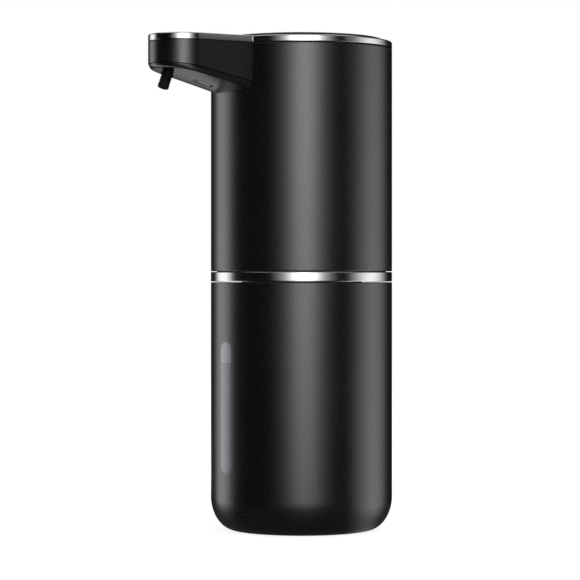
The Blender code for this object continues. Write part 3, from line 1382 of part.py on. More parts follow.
def port_cover(carrier):
    """A soft flap flush with the head's wall, with a low plug behind it and a grip at its foot."""
    width, height = PORT_WIDTH - 2 * CLEARANCE, PORT_HEIGHT - 2 * CLEARANCE
    inner = BODY_RADIUS - PORT_RECESS + CLEARANCE
    flap = ring("port_cover", inner, BODY_RADIUS, PORT_HINGE_LEVEL - PORT_HEIGHT, PORT_HINGE_LEVEL)
    common(flap, port_prism("flap_outline", width, height, inner - PORT_RECESS))
    plug_width = SOCKET_WIDTH - 2 * SOCKET_SHELL - 2 * PORT_PLUG_INSET
    plug_height = SOCKET_HEIGHT - 2 * SOCKET_SHELL - 2 * PORT_PLUG_INSET
    outline = rounded_outline(plug_width, plug_height, plug_height / 2)
    low, high = inner - CLEARANCE - PORT_PLUG_REACH, BODY_RADIUS - PORT_RECESS / 2
    plug = plate("flap_plug", [outline], low, high, turn=(math.pi / 2, 0, math.pi))
    plug.location.z = SOCKET_MIDDLE
    join(flap, plug)
    grip_low = SOCKET_MIDDLE - PORT_HEIGHT / 2
    half = PORT_GRIP_WIDTH / 2
    grip_high = (half, BODY_RADIUS + OVERRUN, grip_low + PORT_GRIP_HEIGHT)
    grip = block("flap_grip", (-half, BODY_RADIUS - PORT_GRIP_DEPTH, grip_low - OVERRUN), grip_high)
    return part(cut(flap, grip), RUBBER_BLACK, carrier)


def display_board(carrier):
    foot = (0, 0, DISPLAY_BOARD_BOTTOM)
    board = rod("display_board", DISPLAY_BOARD_RADIUS, foot, BOARD_THICKNESS, HIDDEN_STEPS)
    reach = DISPLAY_BOARD_RADIUS + OVERRUN
    front_high = (reach, INDICATOR_WIDTH - INDICATOR_PLACE, SWITCH_BOTTOM + OVERRUN)
    cut(board, block("board_front", (-reach, -reach, DISPLAY_BOARD_BOTTOM - OVERRUN), front_high))
    return part(board, BOARD_GREEN, carrier)


def button_switch(carrier):
    half = SWITCH_SIZE / 2
    top = SWITCH_BOTTOM + SWITCH_HEIGHT
    body = block("button_switch", (-half, -half, SWITCH_BOTTOM), (half, half, top))
    join(body, rod("plunger", PLUNGER_RADIUS, (0, 0, top - PLUNGER_HEIGHT), 2 * PLUNGER_HEIGHT))
    return part(body, CHIP_BLACK, carrier)


def sensor_board(carrier):
    half = SENSOR_BOARD_WIDTH / 2
    reach = SENSOR_BOARD_LENGTH / 2
    low = (-half, -LENS_PLACE - reach, SENSOR_BOARD_BOTTOM)
    high = (half, -LENS_PLACE + reach, SENSOR_BOARD_BOTTOM + SENSOR_BOARD_THICKNESS)
    return part(block("sensor_board", low, high), BOARD_GREEN, carrier)


def sensor_eyes(carrier):
    """The emitter and the receiver hang under the board and look down through the lens."""
    top = SENSOR_BOARD_BOTTOM - CLEARANCE
    radius = SENSOR_EYE_RADIUS
    low = top - SENSOR_EYE_HEIGHT + radius
    dome = [(radius * x, low - radius * drop) for x, drop in SENSOR_DOME_SHARES]
    for name, side in (("infrared_emitter", -1), ("infrared_receiver", 1)):
        place = (0, -LENS_PLACE + side * SENSOR_EYE_SPREAD / 2, 0)
        eye = turned(name, [(0, top), (radius, top), *dome], place, SMALL_STEPS)
        part(eye, CHIP_BLACK, carrier)


# Tubes and leads


def outlet_tube(carrier):
    """The soft hose from the pump's outlet up and along the spout to the nozzle."""
    level = outlet_level()
    start = PUMP_PLACE[1] - PUMP_OUTER_RADIUS - CLEARANCE
    high = nozzle_barb_start()
    end = high.y + NOZZLE_RADIUS + 2 * CLEARANCE
    riser = 3 * HOSE_RADIUS - BASE_RADIUS
    path = [
        (MESH_X, start, level),
        (MESH_X, start - OUTLET_REACH / 2, level),
        (MESH_X, start - OUTLET_REACH, level),
        (MESH_X, start - 2 * OUTLET_REACH, level + HOSE_RADIUS / 2),
        (MESH_X, riser + HOSE_RADIUS / 4, level + 2 * HOSE_RADIUS),
        (MESH_X, riser, level + 5 * HOSE_RADIUS),
        (MESH_X, riser, (level + high.z) / 2),
        (MESH_X, riser, high.z - 5 * HOSE_RADIUS),
        (MESH_X, riser - HOSE_RADIUS, high.z - HOSE_RADIUS),
        (MESH_X, -BODY_RADIUS - HOSE_RADIUS, high.z),
        (MESH_X / 2, -LENS_PLACE, high.z),
        (0, end + NOZZLE_BARB_LENGTH, high.z),
        (0, end + NOZZLE_BARB_LENGTH / 2, high.z),
        (0, end, high.z),
    ]
    smooth = smooth_path(path)
    tube = hose("outlet_tube", smooth, HOSE_RADIUS)
    before = smooth[0] + (smooth[0] - smooth[1])
    after = smooth[-1] + (smooth[-1] - smooth[-2])
    bore = hose("outlet_tube_bore", [before, *smooth, after], HOSE_BORE_RADIUS, 1)
    return part(cut(tube, bore), SILICONE, carrier)


def dip_tube(carrier):
    """Hangs on the pump's spigot and reaches almost to the bottle's floor."""
    inner = INLET_RADIUS + CLEARANCE
    top = SOCKET_CEILING - CLEARANCE
    place = (MESH_X, INLET_Y, 0)
    tube = ring("dip_tube", inner, inner + DIP_TUBE_WALL, DIP_TUBE_FOOT, top, place, SMALL_STEPS)
    return part(tube, SILICONE, carrier)


def intake_filter(carrier):
    """A slotted cup on the dip tube's foot."""
    inner = INLET_RADIUS + DIP_TUBE_WALL + 2 * CLEARANCE
    top = FILTER_BASE + FILTER_HEIGHT
    floor = FILTER_BASE + FILTER_FLOOR
    profile = [
        (0, floor),
        (inner, floor),
        (inner, top),
        (FILTER_RADIUS, top),
        (FILTER_RADIUS, FILTER_BASE),
        (0, FILTER_BASE),
    ]
    cup = turned("intake_filter", profile, (MESH_X, INLET_Y, 0), 2 * SMALL_STEPS)
    half = FILTER_SLOT_WIDTH / 2
    reach = FILTER_RADIUS + OVERRUN
    high = (reach, half, floor + FILTER_SLOT_HEIGHT)
    for number in range(FILTER_SLOTS):
        slot = block(f"filter_slot_{number}", (-reach, -half, floor), high)
        slot.location.x, slot.location.y = MESH_X, INLET_Y
        slot.rotation_euler.z = math.pi * number / FILTER_SLOTS
        cut(cup, slot)
    return part(cup, WHITE_PLASTIC, carrier)


def leads(carrier):
    """Insulated leads from the main board to the motor, the battery and the sensor board."""
    edge = SPINE_WIDTH / 2 + 2 * LEAD_RADIUS
    cell_x, cell_y = BATTERY_PLACE
    board_y = board_face() - LEAD_RADIUS - CLEARANCE
    board_x = BOARD_WIDTH / 2 - BOARD_EDGE / 2
    motor_level = MOTOR_TOP + MOTOR_CAP_THICKNESS + LEAD_RADIUS + 2 * CLEARANCE
    turn_y = SPINE_PLACE + SPINE_THICKNESS / 2
    motor_path = [
        (PUMP_PLACE[0], PUMP_PLACE[1], motor_level),
        (PUMP_PLACE[0] - MOTOR_RADIUS / 2, PUMP_PLACE[1] + MOTOR_RADIUS / 2, motor_level),
        (-edge, SPINE_PLACE - 2 * LEAD_RADIUS, motor_level),
        (-edge, turn_y, motor_level),
        (-edge + LEAD_RADIUS, board_y, motor_level),
        (-board_x, board_y, motor_level),
    ]
    cell_level = BATTERY_TOP + LEAD_RADIUS + CLEARANCE
    low_level = board_bottom() + BOARD_HEIGHT - 2 * BOARD_EDGE
    battery_path = [
        (cell_x, cell_y, cell_level),
        (cell_x + BATTERY_RADIUS / 2, cell_y + BATTERY_RADIUS / 2, cell_level),
        (edge, SPINE_PLACE - 2 * LEAD_RADIUS, cell_level - 2 * LEAD_RADIUS),
        (edge, turn_y, cell_level - BATTERY_RADIUS),
        (edge - LEAD_RADIUS, board_y, low_level + BATTERY_RADIUS / 2),
        (board_x, board_y, low_level),
    ]
    sensor_level = SENSOR_BOARD_BOTTOM + SENSOR_BOARD_THICKNESS + LEAD_RADIUS + CLEARANCE
    sensor_x = SENSOR_BOARD_WIDTH / 2 - 2 * LEAD_RADIUS
    wall = BASE_RADIUS - 2 * LEAD_RADIUS
    mid_level = motor_level + BATTERY_RADIUS
    sensor_path = [
        (sensor_x, -LENS_PLACE, sensor_level),
        (sensor_x + LEAD_RADIUS, -BODY_RADIUS, sensor_level),
        (*around(wall, -65), sensor_level - BATTERY_RADIUS / 2),
        (*around(wall, -40), mid_level),
        (*around(wall, -10), mid_level),
        (*around(wall - LEAD_RADIUS, 22), mid_level),
        (edge + LEAD_RADIUS, board_y, mid_level),
        (board_x, board_y, mid_level),
    ]
    paths = {"motor_lead": motor_path, "battery_lead": battery_path, "sensor_cable": sensor_path}
    for name, path in paths.items():
        part(hose(name, smooth_path(path), LEAD_RADIUS, 1), LEAD_RED, carrier)


def build():
    bottle_shell()
    level_window()
    bottle_foot()

    lift = axis_empty("head_lift_axis", (0, 0, RING_BOTTOM))
    neck_seal(lift)
    twist = axis_empty("head_twist_axis", (0, 0, RING_BOTTOM))
    twist.parent = lift
    twist.matrix_parent_inverse = Matrix.Translation(lift.location).inverted()
    for make in (
        mid_ring, head_base, base_gasket, base_screws, head_housing, spout_cover, sensor_lens, nozzle,
        top_trim, top_panel, indicator_lens, pump_housing, pump_cover, pump_screws, idler_pin, shaft_seal,
        motor_can, motor_end_cap, motor_magnets, battery_cell, chassis, main_board, charging_socket,
        display_board, button_switch, sensor_board, sensor_eyes, outlet_tube, dip_tube, intake_filter, leads,
    ):
        make(twist)

    drive = axis_empty("drive_axis", (*PUMP_PLACE, GEAR_BOTTOM))
    gear("drive_gear", 0, PUMP_PLACE, SHAFT_RADIUS + CLEARANCE, drive)
    motor_shaft(drive)
    motor_rotor(drive)
    idle = axis_empty("idler_axis", (*IDLER_PLACE, GEAR_BOTTOM))
    gear("idler_gear", math.pi / GEAR_TEETH, IDLER_PLACE, PIN_RADIUS + CLEARANCE, idle)
    press = axis_empty("button_axis", (0, 0, BUTTON_BOTTOM))
    power_button(press)
    hinge = axis_empty("port_cover_axis", (0, BODY_RADIUS, PORT_HINGE_LEVEL - CLEARANCE))
    port_cover(hinge)
    for empty in (drive, idle, press, hinge):
        empty.parent = twist
        empty.matrix_parent_inverse = Matrix.Translation(twist.location).inverted()


build()
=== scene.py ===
"""Dresses the packed soap dispenser with its finished mouldings, bright frames and materials.

Metres, +Z up, the spout along -Y, in the packed model's own frame.
"""

import math

import bmesh
import bpy
from bpy.props import FloatProperty, FloatVectorProperty, IntProperty, PointerProperty
from mathutils import Matrix, Vector


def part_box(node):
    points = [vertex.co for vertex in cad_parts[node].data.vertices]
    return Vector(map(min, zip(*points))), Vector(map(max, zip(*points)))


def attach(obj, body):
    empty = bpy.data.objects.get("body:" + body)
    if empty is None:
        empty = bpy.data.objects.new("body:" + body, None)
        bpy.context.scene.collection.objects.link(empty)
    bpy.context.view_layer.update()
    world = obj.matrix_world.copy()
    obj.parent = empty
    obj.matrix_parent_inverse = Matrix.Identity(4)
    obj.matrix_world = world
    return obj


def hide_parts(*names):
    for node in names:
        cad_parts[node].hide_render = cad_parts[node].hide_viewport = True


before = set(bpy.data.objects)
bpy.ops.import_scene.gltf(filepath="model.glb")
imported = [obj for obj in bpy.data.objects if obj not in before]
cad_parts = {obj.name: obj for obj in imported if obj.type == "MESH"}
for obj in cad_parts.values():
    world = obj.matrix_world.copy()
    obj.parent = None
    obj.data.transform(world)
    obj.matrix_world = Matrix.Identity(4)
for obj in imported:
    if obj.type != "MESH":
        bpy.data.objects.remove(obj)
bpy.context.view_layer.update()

bl_info = {
    "name": "Soap dispenser looks",
    "version": (1, 0, 0),
    "blender": (4, 5, 0),
    "location": "3D View > Sidebar > Dispenser",
    "description": "Builds the dispenser's visible pieces, their materials and the studio",
    "category": "Object",
}


def low(node):
    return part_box(node)[0]


def high(node):
    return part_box(node)[1]


# Levels and radii, read from the packed frame
BODY_RADIUS = high("mid_ring").x
FIT = low("head_housing").z - high("mid_ring").z
RING_BOTTOM = low("mid_ring").z
RING_TOP = high("mid_ring").z
FOOT_RADIUS = high("bottle_foot").x
FOOT_TOP = high("bottle_foot").z
BOTTLE_TOP = RING_BOTTOM - FIT
NECK_TOP = high("bottle_shell").z
NECK_RADIUS = high("neck_seal").x
SEAL_BOTTOM = low("neck_seal").z
SEAL_TOP = high("neck_seal").z
BASE_BOTTOM = low("head_base").z
BASE_TOP = high("head_base").z
BASE_RADIUS = high("head_base").x
HEAD_BOTTOM = low("head_housing").z
HEAD_TOP = high("head_housing").z
SPOUT_REACH = -low("head_housing").y
TRIM_BOTTOM = low("top_trim").z
TRIM_TOP = high("top_trim").z
TABLE_TOP = high("top_panel").z
BUTTON_TOP = high("power_button").z
BUTTON_BOTTOM = low("power_button").z
WINDOW_MIDDLE = (low("level_window") + high("level_window")) / 2
WINDOW_HALF_WIDTH = high("level_window").x
WINDOW_HALF_HEIGHT = high("level_window").z - WINDOW_MIDDLE.z
PORT_TOP = high("port_cover").z
PORT_BOTTOM = low("port_cover").z
PORT_HALF_WIDTH = high("port_cover").x
LENS_LOW = low("sensor_lens")
LENS_HIGH = high("sensor_lens")

# Bottle
BOTTLE_STAND = 0.0001
BOTTLE_CORNER = 0.0098
BOTTLE_CORNER_RISE = 1.37
BOTTLE_WALL = 0.0018
BOTTLE_FLOOR = 0.004
BOTTLE_INNER_CORNER = 0.008
SHOULDER = 0.002
NECK_BORE = 0.022
THREAD_START = BOTTLE_TOP + 0.0028
THREAD_BITE = 0.0003
THREAD_HALF_SHARE = 0.3
THREAD_CREST_SHARE = 0.35
# Painted glow on the bottle's wall round the window: its reach, where it stops towards the back,
# and its soft edge there
PAINTED_GLOW_REACH = 0.0021
PAINTED_GLOW_DEPTH_SHARE = 0.8
PAINTED_GLOW_EDGE = 0.001

# Head
HEAD_WALL = BODY_RADIUS - BASE_RADIUS - FIT
SOCKET_WALL = 0.0025
SOCKET_ROOF = 0.002
DECK_LEVEL = 0.107
DECK_THICKNESS = 0.0024
BASE_RIM = 0.001
GROOVE_DROP = 0.0004
GROOVE_HEIGHT = 0.0014
GROOVE_DEPTH = 0.0014
BEAD_LEVEL = BASE_BOTTOM + 0.004
BEAD_HALF_HEIGHT = 0.0005
BEAD_RISE = 0.0002
INLET_RADIUS = 0.0022
BASE_SCREW_ANGLES = (-30, 90, 210)
BASE_SCREW_CIRCLE = (NECK_RADIUS + FIT + SOCKET_WALL + BASE_RADIUS - BASE_RIM) / 2
BASE_SCREW_HOLE = 0.0015
BOSS_RADIUS = 0.0024
BOSS_HEIGHT = 0.0095

# Spout, seen from above
TIP_RADIUS = 0.0135
TIP_CENTRE = SPOUT_REACH - TIP_RADIUS
FLARE = math.radians(3.2)
FILLET = 0.0003
SPOUT_WALL = 0.0018
PASSAGE_HALF_WIDTH = 0.011
PASSAGE_SILL = HEAD_TOP - 0.0115
SPOUT_ROOT_INSIDE = 0.022

# Spout, seen from the side
EDGE_TIP = HEAD_TOP - 0.0088
BEND_REACH = 0.016
TIP_SLOPE = 0.05
ROOT_SLOPE = 0.215

# Tray under the spout
TRAY_EDGE = 0.0017
TRAY_DEPTH_TIP = 0.0016
TRAY_DEPTH_ROOT = 0.0026
TRAY_CROWN = 0.0014
TRAY_WALL = 0.0016
TRAY_LIP = 0.0012
TRAY_LIP_TOP = EDGE_TIP + 0.0022
TRAY_END_WALL = 0.0014
LENS_DOME_SHARE = 0.96

# Nozzle, in its own axes
NOZZLE_PLACE = 0.0625
NOZZLE_TILT = math.radians(-20)
NOZZLE_RADIUS = 0.0022
NOZZLE_BORE = 0.0011
NOZZLE_DROP = 0.0088
NOZZLE_FLANGE_RADIUS = 0.0034
NOZZLE_FLANGE_TOP = 0.0015
NOZZLE_HEAD = 0.0058
NOZZLE_EDGE = 0.0002
NOZZLE_TIP_EDGE = 0.0005
NOZZLE_FLANGE_BOTTOM = 0.0003
COLLAR_BOTTOM = -0.0036
COLLAR_TOP = -0.0027
FIRST_RIB = 0.0019
RIB_SHARES = (0.2, 0.35, 0.55)
BARB_RADIUS = 0.0013
BARB_START = 0.0042
BARB_LENGTH = 0.0062

# Top
TRIM_WALL = 0.0017
TRIM_LEDGE = 0.0018
TRIM_LEDGE_TOP = TRIM_BOTTOM + 0.0008
PANEL_BOTTOM = TRIM_LEDGE_TOP + FIT
PANEL_TOP = TRIM_TOP - 0.00015
TABLE_RADIUS = 0.0328
TABLE_SHOULDER = 0.0009
BUTTON_RADIUS = 0.009
BUTTON_FLANGE_RADIUS = high("power_button").x
BUTTON_FLANGE_TOP = PANEL_BOTTOM - FIT
KEY_LAND_SHARE = 0.84
KEY_HOLLOW_SHARES = (0.5, 0.15)
LIGHT_PLACE = (low("indicator_lens").y + high("indicator_lens").y) / 2
LIGHT_BOTTOM = low("indicator_lens").z
LIGHT_FLANGE_HALF_LENGTH = high("indicator_lens").x
LIGHT_FLANGE_HALF_WIDTH = high("indicator_lens").y - LIGHT_PLACE
LIGHT_FLANGE = 0.0011

# Charging port
PORT_CORNER = 0.002
PORT_RECESS = 0.0013
PORT_MIDDLE = (PORT_TOP + PORT_BOTTOM) / 2
MOUTH_HALF_WIDTH = 0.0049
MOUTH_HALF_HEIGHT = 0.002
GRIP_RADIUS = 0.0028
GRIP_OFFSET = 0.0021

# Battery cell
CELL_CAP = 0.0012

# Camera
CAMERA_PLACE = (0.8221, -0.5693, 0.1017)
CAMERA_SHIFT = (-0.0198, -0.0224)
SENSOR_WIDTH = 36
TOWARDS_CAMERA = Vector((*CAMERA_PLACE[:2], 0)).normalized()
TO_THE_RIGHT = Vector((-TOWARDS_CAMERA.y, TOWARDS_CAMERA.x, 0))

# Floor and bowl of light
FLOOR_HALF_WIDTH = 6
FLOOR_GLOW = 0.86
STUDIO_SHADE = 0.006
CONTACT_GLOW = 0.06
BOWL_HOLE = 0.022
BOWL_LIFT = 0.0003
BOWL_TOP = 2.4
BOWL_TILT = 0.12
BOWL_LIMIT = 0.5
BOWL_TWIST = 0.43

# Lamps: name, degrees from the camera, distance, height and power
LAMPS = (
    ("key_light", 25, 1.3, 0.9, 9),
    ("fill_light", -110, 1.4, 0.7, 5),
    ("rim_light", 150, 1.4, 0.9, 5),
)
LAMP_SIZE = 0.7
LAMP_TARGET = 0.1

# Mesh quality
ROUND_STEPS = 256
SMALL_STEPS = 48
ARC_STEPS = 12
SIDE_STEPS = 10
SOFT_STEPS = 3
SUPPORT = 0.00025
OVERRUN = 0.001
MERGE = 0.000002
SHARP = math.radians(30)


# Drawing and shaping


class Outline:
    """A line drawn through a mesh by straight runs and arcs, each from where the last one ended."""

    def __init__(self, bm, start):
        self.bm = bm
        self.first = bm.verts.new(start)
        self.second = None
        self.last = self.first

    def _note_second(self):
        if not self.second:
            self.second = self.first.link_edges[0].other_vert(self.first)

    def line(self, end, parts=1):
        step = (Vector(end) - self.last.co) / parts
        for _ in range(parts):
            drawn = bmesh.ops.extrude_vert_indiv(self.bm, verts=[self.last])
            self.last = drawn["verts"][0]
            bmesh.ops.translate(self.bm, vec=step, verts=[self.last])
            self._note_second()
        return self

    def arc(self, centre, sweep, steps=ARC_STEPS):
        turned = bmesh.ops.spin(
            self.bm, geom=[self.last], cent=centre, axis=(0, 0, 1), angle=sweep, steps=steps
        )
        self.last = turned["geom_last"][0]
        self._note_second()
        return self

    def close(self):
        """Joins its end to its start, or welds the two where they meet."""
        if (self.last.co - self.first.co).length < OVERRUN / 100:
            bmesh.ops.weld_verts(self.bm, targetmap={self.last: self.first})
        else:
            self.bm.edges.new((self.last, self.first))
        return self

    def verts(self):
        """All its points, in order."""
        run = [self.first, self.second]
        seen = set(run)
        while True:
            ahead = [edge.other_vert(run[-1]) for edge in run[-1].link_edges]
            ahead = [vert for vert in ahead if vert not in seen]
            if not ahead:
                return run
            run.append(ahead[0])
            seen.add(ahead[0])

    def edges(self):
        return list({edge for vert in self.verts() for edge in vert.link_edges})


def turn_between(centre, start, end, long_way=False):
    """The signed angle from start to end as seen from a centre, the short way or the long one."""
    first = math.atan2(start[1] - centre[1], start[0] - centre[0])
    last = math.atan2(end[1] - centre[1], end[0] - centre[0])
    sweep = (last - first + math.pi) % (2 * math.pi) - math.pi
    if long_way:
        sweep -= math.copysign(2 * math.pi, sweep)
    return sweep


def tidy(bm):
    bmesh.ops.remove_doubles(bm, verts=bm.verts, dist=MERGE)
    bmesh.ops.recalc_face_normals(bm, faces=bm.faces)


def add_to_scene(name, data, place=(0, 0, 0)):
    obj = bpy.data.objects.new(name, data)
    obj.location = place
    bpy.context.scene.collection.objects.link(obj)
    return obj


def as_object(bm, name):
    """Ends a mesh in making as an object of the scene."""
    mesh = bpy.data.meshes.new(name)
    bm.to_mesh(mesh)
    bm.free()
    return add_to_scene(name, mesh)


def draw_run(bm, points, closed=False):
    """Straight edges from point to point."""
    run = [bm.verts.new(point) for point in points]
    edges = [bm.edges.new(pair) for pair in zip(run, run[1:] + run[:1] if closed else run[1:])]
    return run, edges


def full_spin(bm, steps):
    """Turns what is drawn once round the upright axis."""
    bmesh.ops.spin(
        bm,
        geom=bm.verts[:] + bm.edges[:],
        cent=(0, 0, 0),
        axis=(0, 0, 1),
        angle=2 * math.pi,
        steps=steps,
        use_merge=True,
    )


def lathe(name, corners, steps=ROUND_STEPS, closed=False):
    """A solid turned round the upright axis from (radius, height, rounding, stretch) corners.

    A corner's stretch makes its rounding taller than it is wide.
    """
    bm = bmesh.new()
    run, _ = draw_run(bm, [(corner[0], 0, corner[1]) for corner in corners], closed)
    for vert, (_, height, rounding, *stretch) in zip(run, corners):
        if not rounding:
            continue
        rounded = bmesh.ops.bevel(
            bm,
            geom=[vert],
            offset=rounding,
            segments=SOFT_STEPS if rounding < OVERRUN else 2 * ARC_STEPS,
            profile=0.5,
            affect="VERTICES",
            material=-1,
        )
        for made in rounded["verts"] if stretch else ():
            made.co.z = height + (made.co.z - height) * stretch[0]
    for edge in [edge for edge in bm.edges if edge.calc_length() > 8 * SUPPORT]:
        for end in edge.verts[:]:
            bmesh.utils.edge_split(edge, end, SUPPORT / edge.calc_length())
    full_spin(bm, steps)
    tidy(bm)
    return as_object(bm, name)


def rod(name, radius, start, length, turn=None, steps=SMALL_STEPS):
    """A round bar from its start along +Z, or along +Z turned by a matrix."""
    bm = bmesh.new()
    bmesh.ops.create_cone(
        bm, cap_ends=True, segments=steps, radius1=radius, radius2=radius, depth=length
    )
    bmesh.ops.translate(bm, vec=(0, 0, length / 2), verts=bm.verts)
    if turn:
        bmesh.ops.transform(bm, matrix=turn, verts=bm.verts)
    bmesh.ops.translate(bm, vec=start, verts=bm.verts)
    return as_object(bm, name)


def block(name, lowest, highest):
    bm = bmesh.new()
    size = Vector(highest) - Vector(lowest)
    middle = Matrix.Translation((Vector(highest) + Vector(lowest)) / 2)
    bmesh.ops.create_cube(bm, size=1, matrix=middle @ Matrix.Diagonal((*size, 1)))
    return as_object(bm, name)


def thicken(bm, outline, rise):
    """Fills a closed outline and draws it out into a slab."""
    filled = bmesh.ops.edgeloop_fill(bm, edges=outline.edges())
    drawn = bmesh.ops.extrude_face_region(bm, geom=filled["faces"])
    moved = [item for item in drawn["geom"] if isinstance(item, bmesh.types.BMVert)]
    bmesh.ops.translate(bm, vec=rise, verts=moved)
    bmesh.ops.recalc_face_normals(bm, faces=bm.faces)


def capsule(bm, half_length, half_width, steps=2 * ARC_STEPS):
    """A slot with round ends, long in X."""
    straight = half_length - half_width
    outline = Outline(bm, (straight, -half_width, 0))
    outline.arc((straight, 0, 0), math.pi, steps).line((-straight, half_width, 0))
    return outline.arc((-straight, 0, 0), math.pi, steps).close()


def rounded_rectangle(bm, half_width, half_height, corner):
    right, top = half_width - corner, half_height - corner
    quarter = math.pi / 2
    outline = Outline(bm, (half_width, -top, 0)).line((half_width, top, 0))
    outline.arc((right, top, 0), quarter).line((-right, half_height, 0))
    outline.arc((-right, top, 0), quarter).line((-half_width, -top, 0))
    outline.arc((-right, -top, 0), quarter).line((right, -half_height, 0))
    return outline.arc((right, -top, 0), quarter).close()


def above(level):
    """Picks the edges that lie above a height."""
    return lambda edge: all(vert.co.z > level for vert in edge.verts)


def below(level):
    """Picks the edges that lie below a height."""
    return lambda edge: all(vert.co.z < level for vert in edge.verts)


def soften(bm, width, chosen=None, steps=SOFT_STEPS):
    """Rounds the edges where two faces meet at a clear angle."""
    corners = [
        edge
        for edge in bm.edges
        if len(edge.link_faces) == 2
        and edge.calc_face_angle() > SHARP
        and (chosen is None or chosen(edge))
    ]
    bmesh.ops.bevel(
        bm,
        geom=corners,
        offset=width,
        segments=steps,
        profile=0.5,
        affect="EDGES",
        material=-1,
        clamp_overlap=True,
    )


def wrap_on_wall(bm, radius, side, step=0.0005):
    """Bends an upright slab onto the body's round wall. Its face is drawn flat at Y = 0."""
    reach = max(vert.co.x for vert in bm.verts)
    count = int(reach / step)
    for number in range(-count, count + 1):
        bmesh.ops.bisect_plane(
            bm,
            geom=bm.verts[:] + bm.edges[:] + bm.faces[:],
            dist=MERGE / 10,
            plane_co=(number * step, 0, 0),
            plane_no=(1, 0, 0),
        )
    for vert in bm.verts:
        angle = math.asin(vert.co.x / radius)
        depth = radius - vert.co.y
        vert.co.x = depth * math.sin(angle)
        vert.co.y = side * depth * math.cos(angle)
    bmesh.ops.recalc_face_normals(bm, faces=bm.faces)


def settle(obj):
    """Applies an object's modifiers to its mesh."""
    graph = bpy.context.evaluated_depsgraph_get()
    mesh = bpy.data.meshes.new_from_object(obj.evaluated_get(graph))
    obj.modifiers.clear()
    obj.data = mesh


def close_slivers(mesh):
    """Merges the slivers that a cut leaves, which would spoil the next one."""
    bm = bmesh.new()
    bm.from_mesh(mesh)
    bmesh.ops.remove_doubles(bm, verts=bm.verts, dist=MERGE)
    bmesh.ops.dissolve_degenerate(bm, edges=bm.edges, dist=MERGE)
    bm.to_mesh(mesh)
    bm.free()


def combine(obj, operation, tool):
    """Joins, cuts or intersects a piece with a tool, which is then removed."""
    step = obj.modifiers.new(tool.name, "BOOLEAN")
    step.operation = operation
    step.solver = "EXACT"
    step.object = tool
    settle(obj)
    close_slivers(obj.data)
    bpy.data.objects.remove(tool)
    return obj


def cut(obj, *tools):
    for tool in tools:
        combine(obj, "DIFFERENCE", tool)


def join(obj, *tools):
    for tool in tools:
        combine(obj, "UNION", tool)


def finish_piece(obj, body, slot, material, *nodes):
    """Shades a piece, gives it its material and ties it to the packed model."""
    obj.data.shade_smooth()
    obj.data.set_sharp_from_angle(angle=SHARP)
    even = obj.modifiers.new("even_shading", "WEIGHTED_NORMAL")
    even.keep_sharp = True
    settle(obj)
    obj.data.materials.clear()
    obj.data.materials.append(material)
    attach(obj, body)
    if nodes:
        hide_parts(*nodes)
    return obj


def dress_nodes(material, *names):
    """Gives packed nodes that stay as they are their material."""
    for name in names:
        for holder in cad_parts[name].material_slots:
            holder.material = material


# The spout's shape, as (x, reach), where reach is the distance from the axis along -Y


def side_of_spout(inset):
    """The right side of the spout's plan: its normal, its direction and its distance."""
    normal = Vector((math.cos(FLARE), math.sin(FLARE)))
    along = Vector((-math.sin(FLARE), math.cos(FLARE)))
    distance = TIP_RADIUS - inset + TIP_CENTRE * math.sin(FLARE)
    return normal, along, distance


def on_plan(point, height=0, side=1):
    return (side * point.x, -point.y, height)


def spout_outline(bm, inset, root_radius, height=0):
    """The spout's plan at an inset, closed at its root by an arc round the body."""
    normal, along, distance = side_of_spout(inset)
    root = distance * normal + math.sqrt(root_radius**2 - distance**2) * along
    tip = Vector((0, TIP_CENTRE)) + (TIP_RADIUS - inset) * normal
    outline = Outline(bm, on_plan(root, height))
    outline.line(on_plan(tip, height), SIDE_STEPS)
    outline.arc((0, -TIP_CENTRE, height), 2 * FLARE - math.pi, 4 * ARC_STEPS)
    outline.line(on_plan(root, height, -1), SIDE_STEPS)
    sweep = turn_between((0, 0), on_plan(root, 0, -1), on_plan(root))
    return outline.arc((0, 0, height), sweep, ARC_STEPS)


def root_corner(inset, bite=0):
    """The hollow corner between body and spout: its centre, its start on the body and its end."""
    normal, along, distance = side_of_spout(inset)
    fillet = FILLET + inset
    from_axis = BODY_RADIUS - inset + fillet - bite
    offset = distance + fillet
    centre = offset * normal + math.sqrt(from_axis**2 - offset**2) * along
    start = centre - fillet * centre.normalized()
    return centre, start, centre - fillet * normal


def draw_spout_side(outline, inset, height, bite=0):
    """From the body round the right corner, the spout's tip and the left corner."""
    centre, start, end = root_corner(inset, bite)
    normal, _, _ = side_of_spout(inset)
    tip = Vector((0, TIP_CENTRE)) + (TIP_RADIUS - inset) * normal
    right, left = on_plan(centre, height), on_plan(centre, height, -1)
    sweep = turn_between(right, on_plan(start), on_plan(end))
    outline.arc(right, sweep).line(on_plan(tip, height), SIDE_STEPS)
    outline.arc((0, -TIP_CENTRE, height), 2 * FLARE - math.pi, 4 * ARC_STEPS)
    outline.line(on_plan(end, height, -1), SIDE_STEPS).arc(left, sweep)
    return outline


def keyhole(bm, inset, height):
    """The head's outline from above: the body's circle and the spout in one."""
    _, start, _ = root_corner(inset)
    outline = draw_spout_side(Outline(bm, on_plan(start, height)), inset, height)
    sweep = turn_between((0, 0), on_plan(start, 0, -1), on_plan(start), long_way=True)
    return outline.arc((0, 0, height), sweep, ROUND_STEPS * 3 // 4)


def edge_height(reach):
    """The height of the spout wall's lower edge."""
    back = SPOUT_REACH - reach
    bend = min(max(back, 0), BEND_REACH)
    rise = TIP_SLOPE * bend + (ROOT_SLOPE - TIP_SLOPE) * bend**2 / (2 * BEND_REACH)
    return EDGE_TIP - rise - ROOT_SLOPE * max(back - BEND_REACH, 0)


